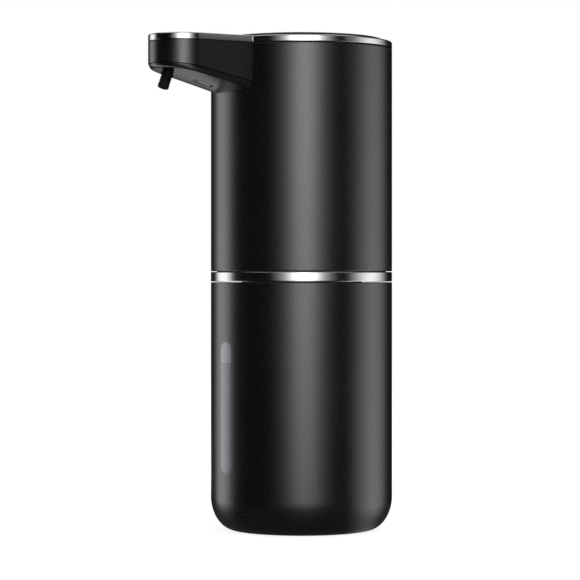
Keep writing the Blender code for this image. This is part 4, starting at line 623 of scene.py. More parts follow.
def tray_under(reach, depth_in):
    """The height of the tray's underside at a distance in from the spout's outline."""
    share = (SPOUT_REACH - reach) / (SPOUT_REACH - BODY_RADIUS)
    edge = min(depth_in / TRAY_EDGE, 1)
    middle = min(max(depth_in - TRAY_EDGE, 0) / (TIP_RADIUS - TRAY_EDGE), 1)
    depth = TRAY_DEPTH_TIP + (TRAY_DEPTH_ROOT - TRAY_DEPTH_TIP) * share
    crown = TRAY_CROWN * share * (1 - (1 - middle) ** 2)
    return edge_height(reach) - depth * math.sqrt(1 - (1 - edge) ** 2) - crown


def nozzle_axes():
    """The nozzle's axes: its origin is where its flange rests, and it points down along -Z."""
    height = tray_under(NOZZLE_PLACE, TIP_RADIUS) + TRAY_WALL
    return Matrix.Translation((0, -NOZZLE_PLACE, height)) @ Matrix.Rotation(NOZZLE_TILT, 4, "X")


def traced(draw, *arguments):
    """The points of an outline, in order, without the second one where its ends meet."""
    scratch = bmesh.new()
    points = [vert.co.copy() for vert in draw(scratch, *arguments).verts()]
    scratch.free()
    if (points[0] - points[-1]).length < OVERRUN / 100:
        points.pop()
    return points


def loft(bm, rows, closed=False):
    """Draws a closed row of points out through the next ones, which have as many points."""
    ring, edges = draw_run(bm, rows[0], closed=True)
    for row in rows[1:] + rows[:1] if closed else rows[1:]:
        drawn = bmesh.ops.extrude_edge_only(bm, edges=edges)["geom"]
        fresh = {item for item in drawn if isinstance(item, bmesh.types.BMVert)}
        pairs = [[edge.other_vert(vert) for edge in vert.link_edges] for vert in ring]
        ring = [next(vert for vert in others if vert in fresh) for others in pairs]
        lines = [item for item in drawn if isinstance(item, bmesh.types.BMEdge)]
        edges = [edge for edge in lines if fresh.issuperset(edge.verts)]
        for vert, point in zip(ring, row):
            vert.co = point
    tidy(bm)
    rims = [edge for edge in bm.edges if edge.is_boundary]
    if rims:
        bmesh.ops.edgeloop_fill(bm, edges=rims)
        bmesh.ops.recalc_face_normals(bm, faces=bm.faces)


# Material graphs


def both_ways(operation):
    """The methods that put a Math node between a wire and a value, in either order."""

    def forward(self, other):
        return self.math(operation, self, other)

    def reflected(self, other):
        return self.math(operation, other, self)

    return forward, reflected


class Wire:
    """A socket of a node tree. Sums and products of wires add Math nodes."""

    def __init__(self, graph, socket):
        self.graph = graph
        self.socket = socket

    def math(self, operation, first, second):
        return self.graph.add("ShaderNodeMath", {"operation": operation}, {0: first, 1: second})

    __add__, __radd__ = both_ways("ADD")
    __sub__, __rsub__ = both_ways("SUBTRACT")
    __mul__, __rmul__ = both_ways("MULTIPLY")
    __truediv__, __rtruediv__ = both_ways("DIVIDE")
    __pow__, __rpow__ = both_ways("POWER")
    __gt__, __lt__ = both_ways("GREATER_THAN")

    def size(self):
        return self.math("ABSOLUTE", self, 0)

    def at_least(self, other):
        return self.math("MAXIMUM", self, other)

    def at_most(self, other):
        return self.math("MINIMUM", self, other)

    def fade(self, start, end):
        """0 at start, 1 at end, with soft ends."""
        return self.graph.add(
            "ShaderNodeMapRange",
            {"interpolation_type": "SMOOTHSTEP"},
            {"Value": self, "From Min": start, "From Max": end},
        )


class Graph:
    """The nodes of a material or a world in the making."""

    def __init__(self, owner, output="ShaderNodeOutputMaterial"):
        self.owner = owner
        owner.use_nodes = True
        self.tree = owner.node_tree
        self.tree.nodes.clear()
        self.output = self.tree.nodes.new(output)

    def add(self, kind, settings=None, sockets=None, output=0):
        """Any node: its settings first, then the values or links of its sockets."""
        node = self.tree.nodes.new(kind)
        for name, value in (settings or {}).items():
            setattr(node, name, value)
        for key, value in (sockets or {}).items():
            self.feed(node.inputs[key], value)
        return Wire(self, node.outputs[output])

    def feed(self, socket, value):
        if isinstance(value, Wire):
            self.tree.links.new(value.socket, socket)
        elif socket.type == "RGBA" and len(value) == 3:
            socket.default_value = (*value, 1)
        else:
            socket.default_value = value

    def mix(self, share, first, second):
        """From the first colour to the second, by a share."""
        sockets = {0: share, 6: first, 7: second}
        return self.add("ShaderNodeMix", {"data_type": "RGBA"}, sockets, output=2)

    def place(self, scale=None):
        """Object coordinates, scaled where a scale is given."""
        here = self.add("ShaderNodeTexCoord", output=3)
        if not scale:
            return here
        return self.add("ShaderNodeVectorMath", {"operation": "MULTIPLY"}, {0: here, 1: scale})

    def axes(self, vector):
        split = self.add("ShaderNodeSeparateXYZ", None, {0: vector})
        return [Wire(self, socket) for socket in split.socket.node.outputs]

    def noise(self, vector, scale, detail=3, roughness=0.5):
        sockets = {"Vector": vector, "Scale": scale, "Detail": detail, "Roughness": roughness}
        return self.add("ShaderNodeTexNoise", None, sockets)

    def cells(self, vector, scale, feature="F1"):
        sockets = {"Vector": vector, "Scale": scale}
        return self.add("ShaderNodeTexVoronoi", {"feature": feature}, sockets)

    def bump(self, height, depth):
        sockets = {"Height": height, "Distance": depth, "Strength": 1}
        return self.add("ShaderNodeBump", None, sockets)

    def end(self, shader):
        """Ends the nodes in a shader."""
        self.tree.links.new(shader.socket, self.output.inputs["Surface"])
        return self.owner

    def surface(self, **sockets):
        """Ends the nodes in one Principled shader."""
        named = {key.replace("_", " "): value for key, value in sockets.items()}
        return self.end(self.add("ShaderNodeBsdfPrincipled", None, named))


def material_graph(name):
    return Graph(bpy.data.materials.new(name))


def colours():
    return bpy.context.scene.dispenser_colours


def toned(colour, *factors):
    """The same colour darker or lighter, once for each factor."""
    return [tuple(value * factor for value in colour) for factor in factors]


def clouded(name, scale, detail, tones, roughness, spread, depth, **sockets):
    """A material whose colour, gloss and surface all follow one soft cloud."""
    g = material_graph(name)
    cloud = g.noise(g.place(), scale, detail)
    return g.surface(
        Base_Color=g.mix(cloud, *tones),
        Roughness=roughness + spread * cloud,
        Normal=g.bump(cloud, depth),
        **sockets,
    )


def moulded_plastic(name, colour, roughness, grain_depth=0.00001, grain_scale=2600, marks=None):
    """Fine moulded grain, and a faint unevenness of gloss and colour."""
    g = material_graph(name)
    here = g.place()
    grain = g.noise(here, grain_scale, 2, 0.6)
    cloud = g.noise(here, 45)
    shade = g.mix(cloud.fade(0.3, 0.7), *toned(colour, 0.9, 1.1))
    # Marks, where given, add painted light: the bottle's painted glow round its window
    if marks:
        shade = marks(g, here, shade)
    return g.surface(
        Base_Color=shade,
        Roughness=roughness + 0.05 * (cloud - 0.5) + 0.06 * (grain - 0.5),
        Normal=g.bump(grain, grain_depth),
        Specular_IOR_Level=0.75,
    )


def painted_window_glow(g, here, shade):
    """The liquid's tint in the thin wall round the window's slot."""
    x, y, z = g.axes(here)
    straight = WINDOW_HALF_HEIGHT - WINDOW_HALF_WIDTH
    beyond = ((z - WINDOW_MIDDLE.z).size() - straight).at_least(0)
    away = (x * x + beyond * beyond) ** 0.5 - WINDOW_HALF_WIDTH
    # Painted glow: strongest at the slot's edge, gone a short reach away and towards the back
    near = 1 - away.fade(0, PAINTED_GLOW_REACH)
    front = 1 - (y + PAINTED_GLOW_DEPTH_SHARE * BODY_RADIUS).fade(0, PAINTED_GLOW_EDGE)
    return g.mix(near * front, shade, colours().painted_window_glow)


def gloss_plastic(name, colour):
    """Polished plastic with a trace of wiping marks."""
    g = material_graph(name)
    wipe = g.noise(g.place(scale=(60, 400, 60)), 3, 4, 0.6)
    cloud = g.noise(g.place(), 90, 2)
    return g.surface(
        Base_Color=g.mix(cloud, *toned(colour, 0.8, 1.2)),
        Roughness=0.04 + 0.05 * wipe.fade(0.45, 0.8),
        Normal=g.bump(cloud, 0.000004),
        Specular_IOR_Level=0.3,
    )


def bright_plating(name):
    """Bright metal plating with faint polishing marks."""
    g = material_graph(name)
    haze = g.noise(g.place(), 160)
    marks = g.noise(g.place(scale=(1, 1, 30)), 900, 2, 0.7)
    return g.surface(
        Base_Color=g.mix(haze, (0.5, 0.505, 0.51), (0.56, 0.56, 0.56)),
        Metallic=1.0,
        Roughness=0.16 + 0.03 * marks.fade(0.4, 0.9),
        Normal=g.bump(marks, 0.0000015),
    )


def clear_pane(name):
    """The level window: milky where it is empty, tinted by the liquid below its level."""
    g = material_graph(name)
    here = g.place()
    x, _, z = g.axes(here)
    chosen = colours()
    # Painted shade: from the lit side to the shaded side across the pane
    across = x.fade(-WINDOW_HALF_WIDTH, WINDOW_HALF_WIDTH)
    empty = g.mix(across, chosen.pane_painted_lit_side, chosen.pane_painted_shaded_side)
    liquid = g.mix(across, chosen.liquid_painted_lit_side, chosen.liquid_painted_shaded_side)
    cloud = g.noise(here, 220, 2)
    return g.surface(
        Base_Color=g.mix(z < chosen.liquid_level, empty, liquid),
        Roughness=0.16 + 0.06 * cloud,
        Normal=g.bump(cloud, 0.000004),
        Coat_Weight=0.4,
        Coat_Roughness=0.05,
    )


def dark_lens(name):
    tones = ((0.006, 0.003, 0.008), (0.016, 0.006, 0.014))
    return clouded(name, 300, 2, tones, roughness=0.05, spread=0.03, depth=0.000002)


def light_guide(name):
    """Milky plastic over the status light."""
    tones = ((0.66, 0.68, 0.7), (0.78, 0.79, 0.8))
    return clouded(name, 500, 3, tones, roughness=0.3, spread=0.1, depth=0.000003)


def silicone(name, colour):
    """Soft translucent rubber, clouded inside."""
    tones = toned(colour, 0.86, 1)
    soft = {"Subsurface_Weight": 0.25, "Subsurface_Scale": 0.002}
    return clouded(name, 260, 4, tones, roughness=0.38, spread=0.14, depth=0.00002, **soft)


def rubber(name, colour, roughness=0.6, gloss=0.4):
    """Matt rubber with a fine pebble and a dusty bloom."""
    g = material_graph(name)
    here = g.place()
    bloom = g.noise(here, 120, 4)
    return g.surface(
        Base_Color=g.mix(bloom.fade(0.35, 0.75), *toned(colour, 1, 1.5)),
        Roughness=roughness + 0.12 * (bloom - 0.5),
        Normal=g.bump(g.cells(here, 3200), 0.00001),
        Specular_IOR_Level=gloss,
    )


def turned_steel(name, tone=0.55):
    """Steel with fine turning lines round the upright axis."""
    g = material_graph(name)
    lines = g.noise(g.place(scale=(1, 1, 60)), 420, 3, 0.7)
    stain = g.noise(g.place(), 150)
    dark = (tone * 0.85, tone * 0.85, tone * 0.86)
    pale = (tone * 1.1, tone * 1.1, tone * 1.12)
    return g.surface(
        Base_Color=g.mix(stain, dark, pale),
        Metallic=1.0,
        Roughness=0.24 + 0.14 * lines,
        Normal=g.bump(lines, 0.000004),
    )


def sintered_magnet(name):
    g = material_graph(name)
    here = g.place()
    specks = g.cells(here, 2400)
    cloud = g.noise(here, 300)
    return g.surface(
        Base_Color=g.mix(cloud, (0.045, 0.045, 0.05), (0.085, 0.083, 0.085)),
        Roughness=0.5 + 0.15 * specks,
        Normal=g.bump(specks, 0.00002),
    )


def circuit_board(name):
    """Green solder mask over copper tracks, with tinned pads."""
    g = material_graph(name)
    here = g.place()
    tracks = 1 - g.cells(here, 420, "DISTANCE_TO_EDGE").fade(0.02, 0.05)
    spots = 1 - g.cells(here, 620).fade(0.16, 0.2)
    pads = spots * g.noise(here, 130, 1).fade(0.52, 0.56)
    mask = g.mix(tracks, (0.012, 0.1, 0.042), (0.024, 0.17, 0.075))
    return g.surface(
        Base_Color=g.mix(pads, mask, (0.6, 0.6, 0.58)),
        Metallic=pads,
        Roughness=0.34 + 0.1 * tracks,
        Normal=g.bump(tracks.at_least(pads), 0.00003),
    )


def shrink_sleeve(name):
    """The film round the battery cell, with faint wrinkles, and the bare metal of its top."""
    g = material_graph(name)
    wrinkles = g.noise(g.place(scale=(1, 1, 0.2)), 260)
    z = g.axes(g.place())[2]
    metal = z > high("battery_cell").z - CELL_CAP
    film = g.mix(wrinkles, (0.014, 0.08, 0.3), (0.024, 0.13, 0.42))
    return g.surface(
        Base_Color=g.mix(metal, film, (0.62, 0.62, 0.62)),
        Metallic=metal,
        Roughness=0.3 + 0.12 * wrinkles,
        Normal=g.bump(wrinkles, 0.00003),
    )


# Outer pieces


def window_slot(name, inset):
    """A round-ended prism through the bottle's front wall."""
    bm = bmesh.new()
    outline = capsule(bm, WINDOW_HALF_HEIGHT + FIT - inset, WINDOW_HALF_WIDTH + FIT - inset)
    thicken(bm, outline, (0, 0, 2 * BOTTLE_INNER_CORNER))
    upright = Matrix.Rotation(math.pi / 2, 4, "Y") @ Matrix.Rotation(math.pi / 2, 4, "X")
    bmesh.ops.transform(bm, matrix=upright, verts=bm.verts)
    bmesh.ops.recalc_face_normals(bm, faces=bm.faces)
    middle = sum(vert.co.y for vert in bm.verts) / len(bm.verts)
    bmesh.ops.translate(bm, vec=(0, -BODY_RADIUS - middle, WINDOW_MIDDLE.z), verts=bm.verts)
    return as_object(bm, name)


def neck_thread(sizes):
    """A thread round the bottle's neck, as a bar of four sides."""
    bm = bmesh.new()
    root = sizes.neck_core - THREAD_BITE
    half = sizes.thread_pitch * THREAD_HALF_SHARE
    flat = half * THREAD_CREST_SHARE
    corners = ((root, -half), (NECK_RADIUS, -flat), (NECK_RADIUS, flat), (root, half))
    run = [bm.verts.new((radius, 0, THREAD_START + height)) for radius, height in corners]
    section = bm.faces.new(run)
    rise = sizes.thread_pitch * sizes.thread_turns
    steps = int(ROUND_STEPS * sizes.thread_turns)
    bmesh.ops.spin(
        bm,
        geom=[section],
        cent=(0, 0, 0),
        axis=(0, 0, 1),
        dvec=(0, 0, rise / steps),
        angle=2 * math.pi * sizes.thread_turns,
        steps=steps,
    )
    bmesh.ops.recalc_face_normals(bm, faces=bm.faces)
    return as_object(bm, "neck_thread")


def make_bottle(context):
    sizes = context.scene.dispenser_sizes
    inner = BODY_RADIUS - BOTTLE_WALL
    recess = FOOT_RADIUS + FIT
    core = sizes.neck_core
    soft = sizes.soft_edge
    bottle = lathe(
        "bottle_body",
        [
            (0, BOTTLE_FLOOR, 0),
            (inner, BOTTLE_FLOOR, BOTTLE_INNER_CORNER),
            (inner, BOTTLE_TOP - SHOULDER, soft),
            (NECK_BORE, BOTTLE_TOP - SHOULDER, soft),
            (NECK_BORE, NECK_TOP, soft),
            (core, NECK_TOP, soft),
            (core, BOTTLE_TOP, soft),
            (BODY_RADIUS, BOTTLE_TOP, soft),
            (BODY_RADIUS, BOTTLE_STAND, BOTTLE_CORNER, BOTTLE_CORNER_RISE),
            (recess, BOTTLE_STAND, soft),
            (recess, FOOT_TOP + FIT, 0),
            (0, FOOT_TOP + FIT, 0),
        ],
    )
    cut(bottle, window_slot("slot", FIT))
    join(bottle, neck_thread(sizes))
    # The bottle's satin black carries the glow painted round the window
    material = moulded_plastic(
        "bottle_satin_black", colours().shell, sizes.shell_roughness, marks=painted_window_glow
    )
    finish_piece(bottle, "bottle", "bottle_black", material, "bottle_shell")


def make_pane(context):
    """A clear pane flush with the bottle's wall, with a rounded rim."""
    bm = bmesh.new()
    gap = context.scene.dispenser_sizes.pane_gap
    outline = capsule(bm, WINDOW_HALF_HEIGHT - gap, WINDOW_HALF_WIDTH - gap)
    thicken(bm, outline, (0, 0, -BOTTLE_WALL))
    upright = Matrix.Rotation(math.pi / 2, 4, "X") @ Matrix.Rotation(math.pi / 2, 4, "Z")
    bmesh.ops.transform(bm, matrix=upright, verts=bm.verts)
    bmesh.ops.recalc_face_normals(bm, faces=bm.faces)
    deepest = min(vert.co.y for vert in bm.verts)
    bmesh.ops.translate(bm, vec=(0, -deepest, 0), verts=bm.verts)
    wrap_on_wall(bm, BODY_RADIUS, -1)
    bmesh.ops.translate(bm, vec=(0, 0, WINDOW_MIDDLE.z), verts=bm.verts)
    pane = as_object(bm, "level_pane")
    finish_piece(pane, "bottle", "window", clear_pane("level_pane_clear"), "level_window")


def make_foot(context):
    """A soft pad with grip rings under the bottle."""
    sizes = context.scene.dispenser_sizes
    corners = [(0, FOOT_TOP, 0), (FOOT_RADIUS, FOOT_TOP, 0), (FOOT_RADIUS, 0, sizes.soft_edge)]
    depth = sizes.foot_groove
    pitch = FOOT_RADIUS / (sizes.foot_rings + 1)
    for number in range(sizes.foot_rings, 0, -1):
        radius = number * pitch
        corners += [
            (radius + depth, 0, depth / 3),
            (radius + depth / 2, depth, 0),
            (radius - depth / 2, depth, 0),
            (radius - depth, 0, depth / 3),
        ]
    corners.append((0, 0, 0))
    foot = lathe("foot_pad", corners, ROUND_STEPS // 2)
    material = rubber("foot_rubber", (0.014, 0.014, 0.014))
    finish_piece(foot, "bottle", "black_rubber", material, "bottle_foot")


def make_seal(context):
    """A ring with a double lip between the neck's rim and the socket's ceiling."""
    lip = (SEAL_TOP - SEAL_BOTTOM) / 4
    seal = lathe(
        "neck_lip_seal",
        [
            (NECK_BORE, SEAL_BOTTOM, lip),
            (NECK_RADIUS, SEAL_BOTTOM, lip),
            (NECK_RADIUS, SEAL_TOP, lip),
            (NECK_BORE + 3 * lip, SEAL_TOP, lip / 2),
            (NECK_BORE + 2 * lip, SEAL_TOP - lip, lip / 2),
            (NECK_BORE, SEAL_TOP - lip, lip / 2),
        ],
        ROUND_STEPS // 2,
        closed=True,
    )
    material = silicone("seal_silicone", (0.7, 0.71, 0.7))
    finish_piece(seal, "seal", "pale_silicone", material, "neck_seal")


def make_ring(context):
    """The bright band between head and bottle."""
    soft = context.scene.dispenser_sizes.bright_edge
    inner = BASE_RADIUS + FIT
    ring = lathe(
        "middle_ring",
        [
            (inner, RING_BOTTOM, 0),
            (inner, RING_TOP, 0),
            (BODY_RADIUS, RING_TOP, soft),
            (BODY_RADIUS, RING_BOTTOM, soft),
        ],
        closed=True,
    )
    finish_piece(ring, "head", "bright_ring", bright_plating("ring_plating"), "mid_ring")


def around(radius, degrees, height):
    angle = math.radians(degrees)
    return (radius * math.cos(angle), radius * math.sin(angle), height)


def spout_block():
    """The spout's solid wall form, drawn out from its plan and cut along its lower edge."""
    bm = bmesh.new()
    _, start, _ = root_corner(0, OVERRUN / 4)
    bottom = edge_height(BODY_RADIUS) - 4 * OVERRUN
    inside = Vector((start.x, SPOUT_ROOT_INSIDE))
    outline = Outline(bm, on_plan(inside, bottom)).line(on_plan(start, bottom))
    draw_spout_side(outline, 0, bottom, OVERRUN / 4)
    outline.line(on_plan(inside, bottom, -1)).close()
    thicken(bm, outline, (0, 0, HEAD_TOP + OVERRUN - bottom))
    tidy(bm)
    return as_object(bm, "spout_block")


def below_the_spout(name, gap, root_reach):
    """What lies under the spout wall's lower edge, as a tool that cuts it away."""
    bm = bmesh.new()
    far = SPOUT_REACH + 2 * OVERRUN
    bottom = edge_height(BODY_RADIUS) - 8 * OVERRUN
    side = -BODY_RADIUS
    profile = Outline(bm, (side, -root_reach, 0)).line((side, -far, 0), 6 * SIDE_STEPS)
    for vert in profile.verts():
        vert.co.z = edge_height(min(-vert.co.y, SPOUT_REACH)) + gap
    profile.line((side, -far, bottom)).line((side, -root_reach, bottom)).close()
    thicken(bm, profile, (2 * BODY_RADIUS, 0, 0))
    tidy(bm)
    return as_object(bm, name)


def spout_cavity(name, inset, root_radius, bottom, top):
    bm = bmesh.new()
    outline = spout_outline(bm, inset, root_radius, bottom)
    thicken(bm, outline.close(), (0, 0, top - bottom))
    tidy(bm)
    return as_object(bm, name)


def port_prism(name, half_width, half_height, corner, inner):
    """A rounded prism outwards through the back wall."""
    bm = bmesh.new()
    outline = rounded_rectangle(bm, half_width, half_height, corner)
    thicken(bm, outline, (0, 0, BODY_RADIUS + 2 * OVERRUN - inner))
    bmesh.ops.transform(bm, matrix=Matrix.Rotation(-math.pi / 2, 4, "X"), verts=bm.verts)
    bmesh.ops.translate(bm, vec=(0, inner, PORT_MIDDLE), verts=bm.verts)
    tidy(bm)
    return as_object(bm, name)


def port_recess():
    """The shallow seat for the port's cover, which follows the round wall."""
    floor = BODY_RADIUS - PORT_RECESS
    deep = BODY_RADIUS + 4 * OVERRUN
    half = 2 * (PORT_TOP - PORT_MIDDLE)
    band = lathe(
        "port_band",
        [
            (floor, PORT_MIDDLE - half, 0),
            (floor, PORT_MIDDLE + half, 0),
            (deep, PORT_MIDDLE + half, 0),
            (deep, PORT_MIDDLE - half, 0),
        ],
        closed=True,
    )
    wide, tall = PORT_HALF_WIDTH + FIT, PORT_TOP - PORT_MIDDLE + FIT
    prism = port_prism("port_outline", wide, tall, PORT_CORNER, floor - OVERRUN)
    return combine(band, "INTERSECT", prism)


def add_bosses(head):
    """Three posts, drawn out to the head's wall, that take the base's screws."""
    foot = DECK_LEVEL + FIT
    half_length = (BODY_RADIUS - HEAD_WALL / 2 - BASE_SCREW_CIRCLE + BOSS_RADIUS) / 2
    for angle in BASE_SCREW_ANGLES:
        bm = bmesh.new()
        thicken(bm, capsule(bm, half_length, BOSS_RADIUS), (0, 0, BOSS_HEIGHT))
        middle = Matrix.Translation((BASE_SCREW_CIRCLE - BOSS_RADIUS + half_length, 0, foot))
        turned = Matrix.Rotation(math.radians(angle), 4, "Z") @ middle
        bmesh.ops.transform(bm, matrix=turned, verts=bm.verts)
        join(head, as_object(bm, f"boss_{angle}"))
        place = around(BASE_SCREW_CIRCLE, angle, foot - OVERRUN)
        cut(head, rod(f"boss_hole_{angle}", BASE_SCREW_HOLE, place, BOSS_HEIGHT))


def make_head(context):
    """One moulding: the head's round wall with the spout's wall and the charging port."""
    sizes = context.scene.dispenser_sizes
    soft = sizes.soft_edge
    head = lathe(
        "head_shell",
        [
            (0, HEAD_TOP, 0),
            (BODY_RADIUS, HEAD_TOP, soft),
            (BODY_RADIUS, HEAD_BOTTOM, soft),
            (0, HEAD_BOTTOM, 0),
        ],
    )
    spout = spout_block()
    far = 3 * BODY_RADIUS
    above = block("above_head", (-far, -far, HEAD_TOP), (far, far, HEAD_TOP + 4 * OVERRUN))
    cut(spout, below_the_spout("under_edge", FIT, SPOUT_ROOT_INSIDE - OVERRUN), above)
    join(head, spout)
    inside = BASE_RADIUS + FIT
    tall = HEAD_TOP - HEAD_BOTTOM + 2 * OVERRUN
    cavity = rod("cavity", inside, (0, 0, HEAD_BOTTOM - OVERRUN), tall, steps=ROUND_STEPS)
    deep = edge_height(BODY_RADIUS) - 4 * OVERRUN
    over = HEAD_TOP + OVERRUN
    spout_room = spout_cavity("spout_room", SPOUT_WALL, BODY_RADIUS + OVERRUN / 2, deep, over)
    half = PASSAGE_HALF_WIDTH
    entry = -BODY_RADIUS - OVERRUN
    passage = block("passage", (-half, entry, PASSAGE_SILL), (half, -inside / 2, over))
    cut(head, cavity, spout_room, passage)
    add_bosses(head)
    corner = MOUTH_HALF_HEIGHT - OVERRUN / 8
    behind = inside - 2 * OVERRUN
    mouth = port_prism("mouth", MOUTH_HALF_WIDTH, MOUTH_HALF_HEIGHT, corner, behind)
    cut(head, port_recess(), mouth)
    material = moulded_plastic("head_satin_black", colours().shell, sizes.shell_roughness)
    finish_piece(head, "head", "head_black", material, "head_housing")


def make_head_base(context):
    """Closes the head from below, with the socket that takes the bottle's neck."""
    soft = context.scene.dispenser_sizes.soft_edge
    socket = NECK_RADIUS + FIT
    outer = socket + SOCKET_WALL
    under = DECK_LEVEL - DECK_THICKNESS
    rim = BASE_RADIUS - BASE_RIM
    groove_top = DECK_LEVEL - GROOVE_DROP
    groove_low = groove_top - GROOVE_HEIGHT
    groove = BASE_RADIUS - GROOVE_DEPTH
    base = lathe(
        "head_underside",
        [
            (0, BASE_TOP, 0),
            (outer, BASE_TOP, soft),
            (outer, DECK_LEVEL, soft),
            (BASE_RADIUS, DECK_LEVEL, 0),
            (BASE_RADIUS, groove_top, 0),
            (groove, groove_top, 0),
            (groove, groove_low, 0),
            (BASE_RADIUS, groove_low, 0),
            (BASE_RADIUS, BASE_BOTTOM, soft),
            (rim, BASE_BOTTOM, soft),
            (rim, under, soft),
            (outer, under, soft),
            (outer, BASE_BOTTOM, soft),
            (socket, BASE_BOTTOM, soft),
            (socket, BEAD_LEVEL - 2 * BEAD_HALF_HEIGHT, BEAD_RISE),
            (socket - BEAD_RISE, BEAD_LEVEL - BEAD_HALF_HEIGHT, BEAD_RISE / 2),
            (socket - BEAD_RISE, BEAD_LEVEL + BEAD_HALF_HEIGHT, BEAD_RISE / 2),
            (socket, BEAD_LEVEL + 2 * BEAD_HALF_HEIGHT, BEAD_RISE),
            (socket, BASE_TOP - SOCKET_ROOF, soft),
            (0, BASE_TOP - SOCKET_ROOF, 0),
        ],
    )
    inlet = (low("dip_tube") + high("dip_tube")) / 2
    start = (inlet.x, inlet.y, BASE_TOP - 2 * SOCKET_ROOF)
    cut(base, rod("inlet", INLET_RADIUS, start, 4 * SOCKET_ROOF))
    for angle in BASE_SCREW_ANGLES:
        place = around(BASE_SCREW_CIRCLE, angle, under - OVERRUN)
        cut(base, rod(f"screw_{angle}", BASE_SCREW_HOLE, place, DECK_THICKNESS + 2 * OVERRUN))
    material = moulded_plastic("base_grey", (0.05, 0.052, 0.055), 0.5)
    finish_piece(base, "head", "grey_plastic", material, "head_base")


def lens_outline(bm, inset):
    """The sensor window's outline, long in reach."""
    half_length = (LENS_HIGH.y - LENS_LOW.y) / 2 + FIT - inset
    half_width = LENS_HIGH.x + FIT - inset
    outline = capsule(bm, half_length, half_width)
    middle = Matrix.Translation((0, (LENS_HIGH.y + LENS_LOW.y) / 2, 0))
    turned = middle @ Matrix.Rotation(math.pi / 2, 4, "Z")
    bmesh.ops.transform(bm, matrix=turned, verts=outline.verts())
    return outline


def lens_prism(name, inset):
    bm = bmesh.new()
    outline = lens_outline(bm, inset)
    thicken(bm, outline, (0, 0, EDGE_TIP - LENS_LOW.z + 4 * OVERRUN))
    bmesh.ops.translate(bm, vec=(0, 0, LENS_LOW.z - 2 * OVERRUN), verts=bm.verts)
    return as_object(bm, name)


def tray_row(inset, root_radius, height):
    """One row of the tray, whose points take their height from their reach."""
    points = traced(spout_outline, inset, root_radius)
    for point in points:
        point.z = height(-point.y)
    return points


def make_tray(context):
    """The crowned tray that closes the spout from below."""
    sizes = context.scene.dispenser_sizes
    bm = bmesh.new()
    root = BODY_RADIUS + FIT
    pocket_root = root + TRAY_END_WALL
    lip_outer = SPOUT_WALL + FIT
    lip_inner = lip_outer + TRAY_LIP
    middle = TIP_RADIUS - TRAY_EDGE / 4
    crown = [TRAY_EDGE + (middle - TRAY_EDGE) * step / SIDE_STEPS for step in range(SIDE_STEPS + 1)]
    rows = [
        tray_row(inset, pocket_root, lambda reach, i=inset: tray_under(reach, i - FIT) + TRAY_WALL)
        for inset in reversed([lip_inner, *[i for i in crown if i > lip_inner + OVERRUN / 2]])
    ]
    rows.append(tray_row(lip_inner, pocket_root, lambda reach: TRAY_LIP_TOP))
    rows.append(tray_row(lip_outer, root + FIT, lambda reach: TRAY_LIP_TOP))
    rows.append(tray_row(lip_outer, root, edge_height))
    for step in range(2 * SOFT_STEPS + 1):
        depth_in = TRAY_EDGE * (1 - math.cos(math.pi / 2 * step / (2 * SOFT_STEPS)))
        rows.append(tray_row(FIT + depth_in, root, lambda reach, d=depth_in: tray_under(reach, d)))
    for inset in crown[1:]:
        rows.append(tray_row(inset, root, lambda reach, i=inset: tray_under(reach, i - FIT)))
    loft(bm, rows)
    tray = as_object(bm, "spout_tray")
    seat = nozzle_axes()
    turn = seat.to_3x3().to_4x4()
    foot = seat @ Vector((0, 0, -NOZZLE_DROP))
    hole = rod("nozzle_hole", NOZZLE_RADIUS + FIT / 2, foot, 2 * NOZZLE_DROP, turn)
    flange = rod("nozzle_seat", NOZZLE_FLANGE_RADIUS + FIT, seat.translation, NOZZLE_DROP, turn)
    cut(tray, lens_prism("lens_hole", FIT / 2), hole, flange)
    material = moulded_plastic("tray_satin_black", colours().tray, sizes.shell_roughness)
    finish_piece(tray, "head", "cover_black", material, "spout_cover")


def depth_from_side(x, reach):
    """How far a point lies in from the spout's outline."""
    normal, _, distance = side_of_spout(0)
    return distance - normal.x * abs(x) - normal.y * reach


def make_lens(context):
    """The dark window under the spout, slightly domed, for the sensor's beam."""
    bm = bmesh.new()
    steps = 2 * SOFT_STEPS
    dome = context.scene.dispenser_sizes.lens_dome
    back = traced(lens_outline, FIT)
    for point in back:
        point.z = tray_under(-point.y, TIP_RADIUS) + TRAY_WALL + FIT
    rows = [back]
    for step in range(steps + 1):
        row = traced(lens_outline, FIT + LENS_HIGH.x * LENS_DOME_SHARE * step / steps)
        bulge = dome * (1 - (1 - step / steps) ** 2)
        for point in row:
            depth_in = depth_from_side(point.x, -point.y)
            point.z = tray_under(-point.y, depth_in) + FIT / 2 - bulge
        rows.append(row)
    loft(bm, rows)
    lens = as_object(bm, "sensor_window")
    finish_piece(lens, "head", "dark_lens", dark_lens("sensor_window_dark"), "sensor_lens")


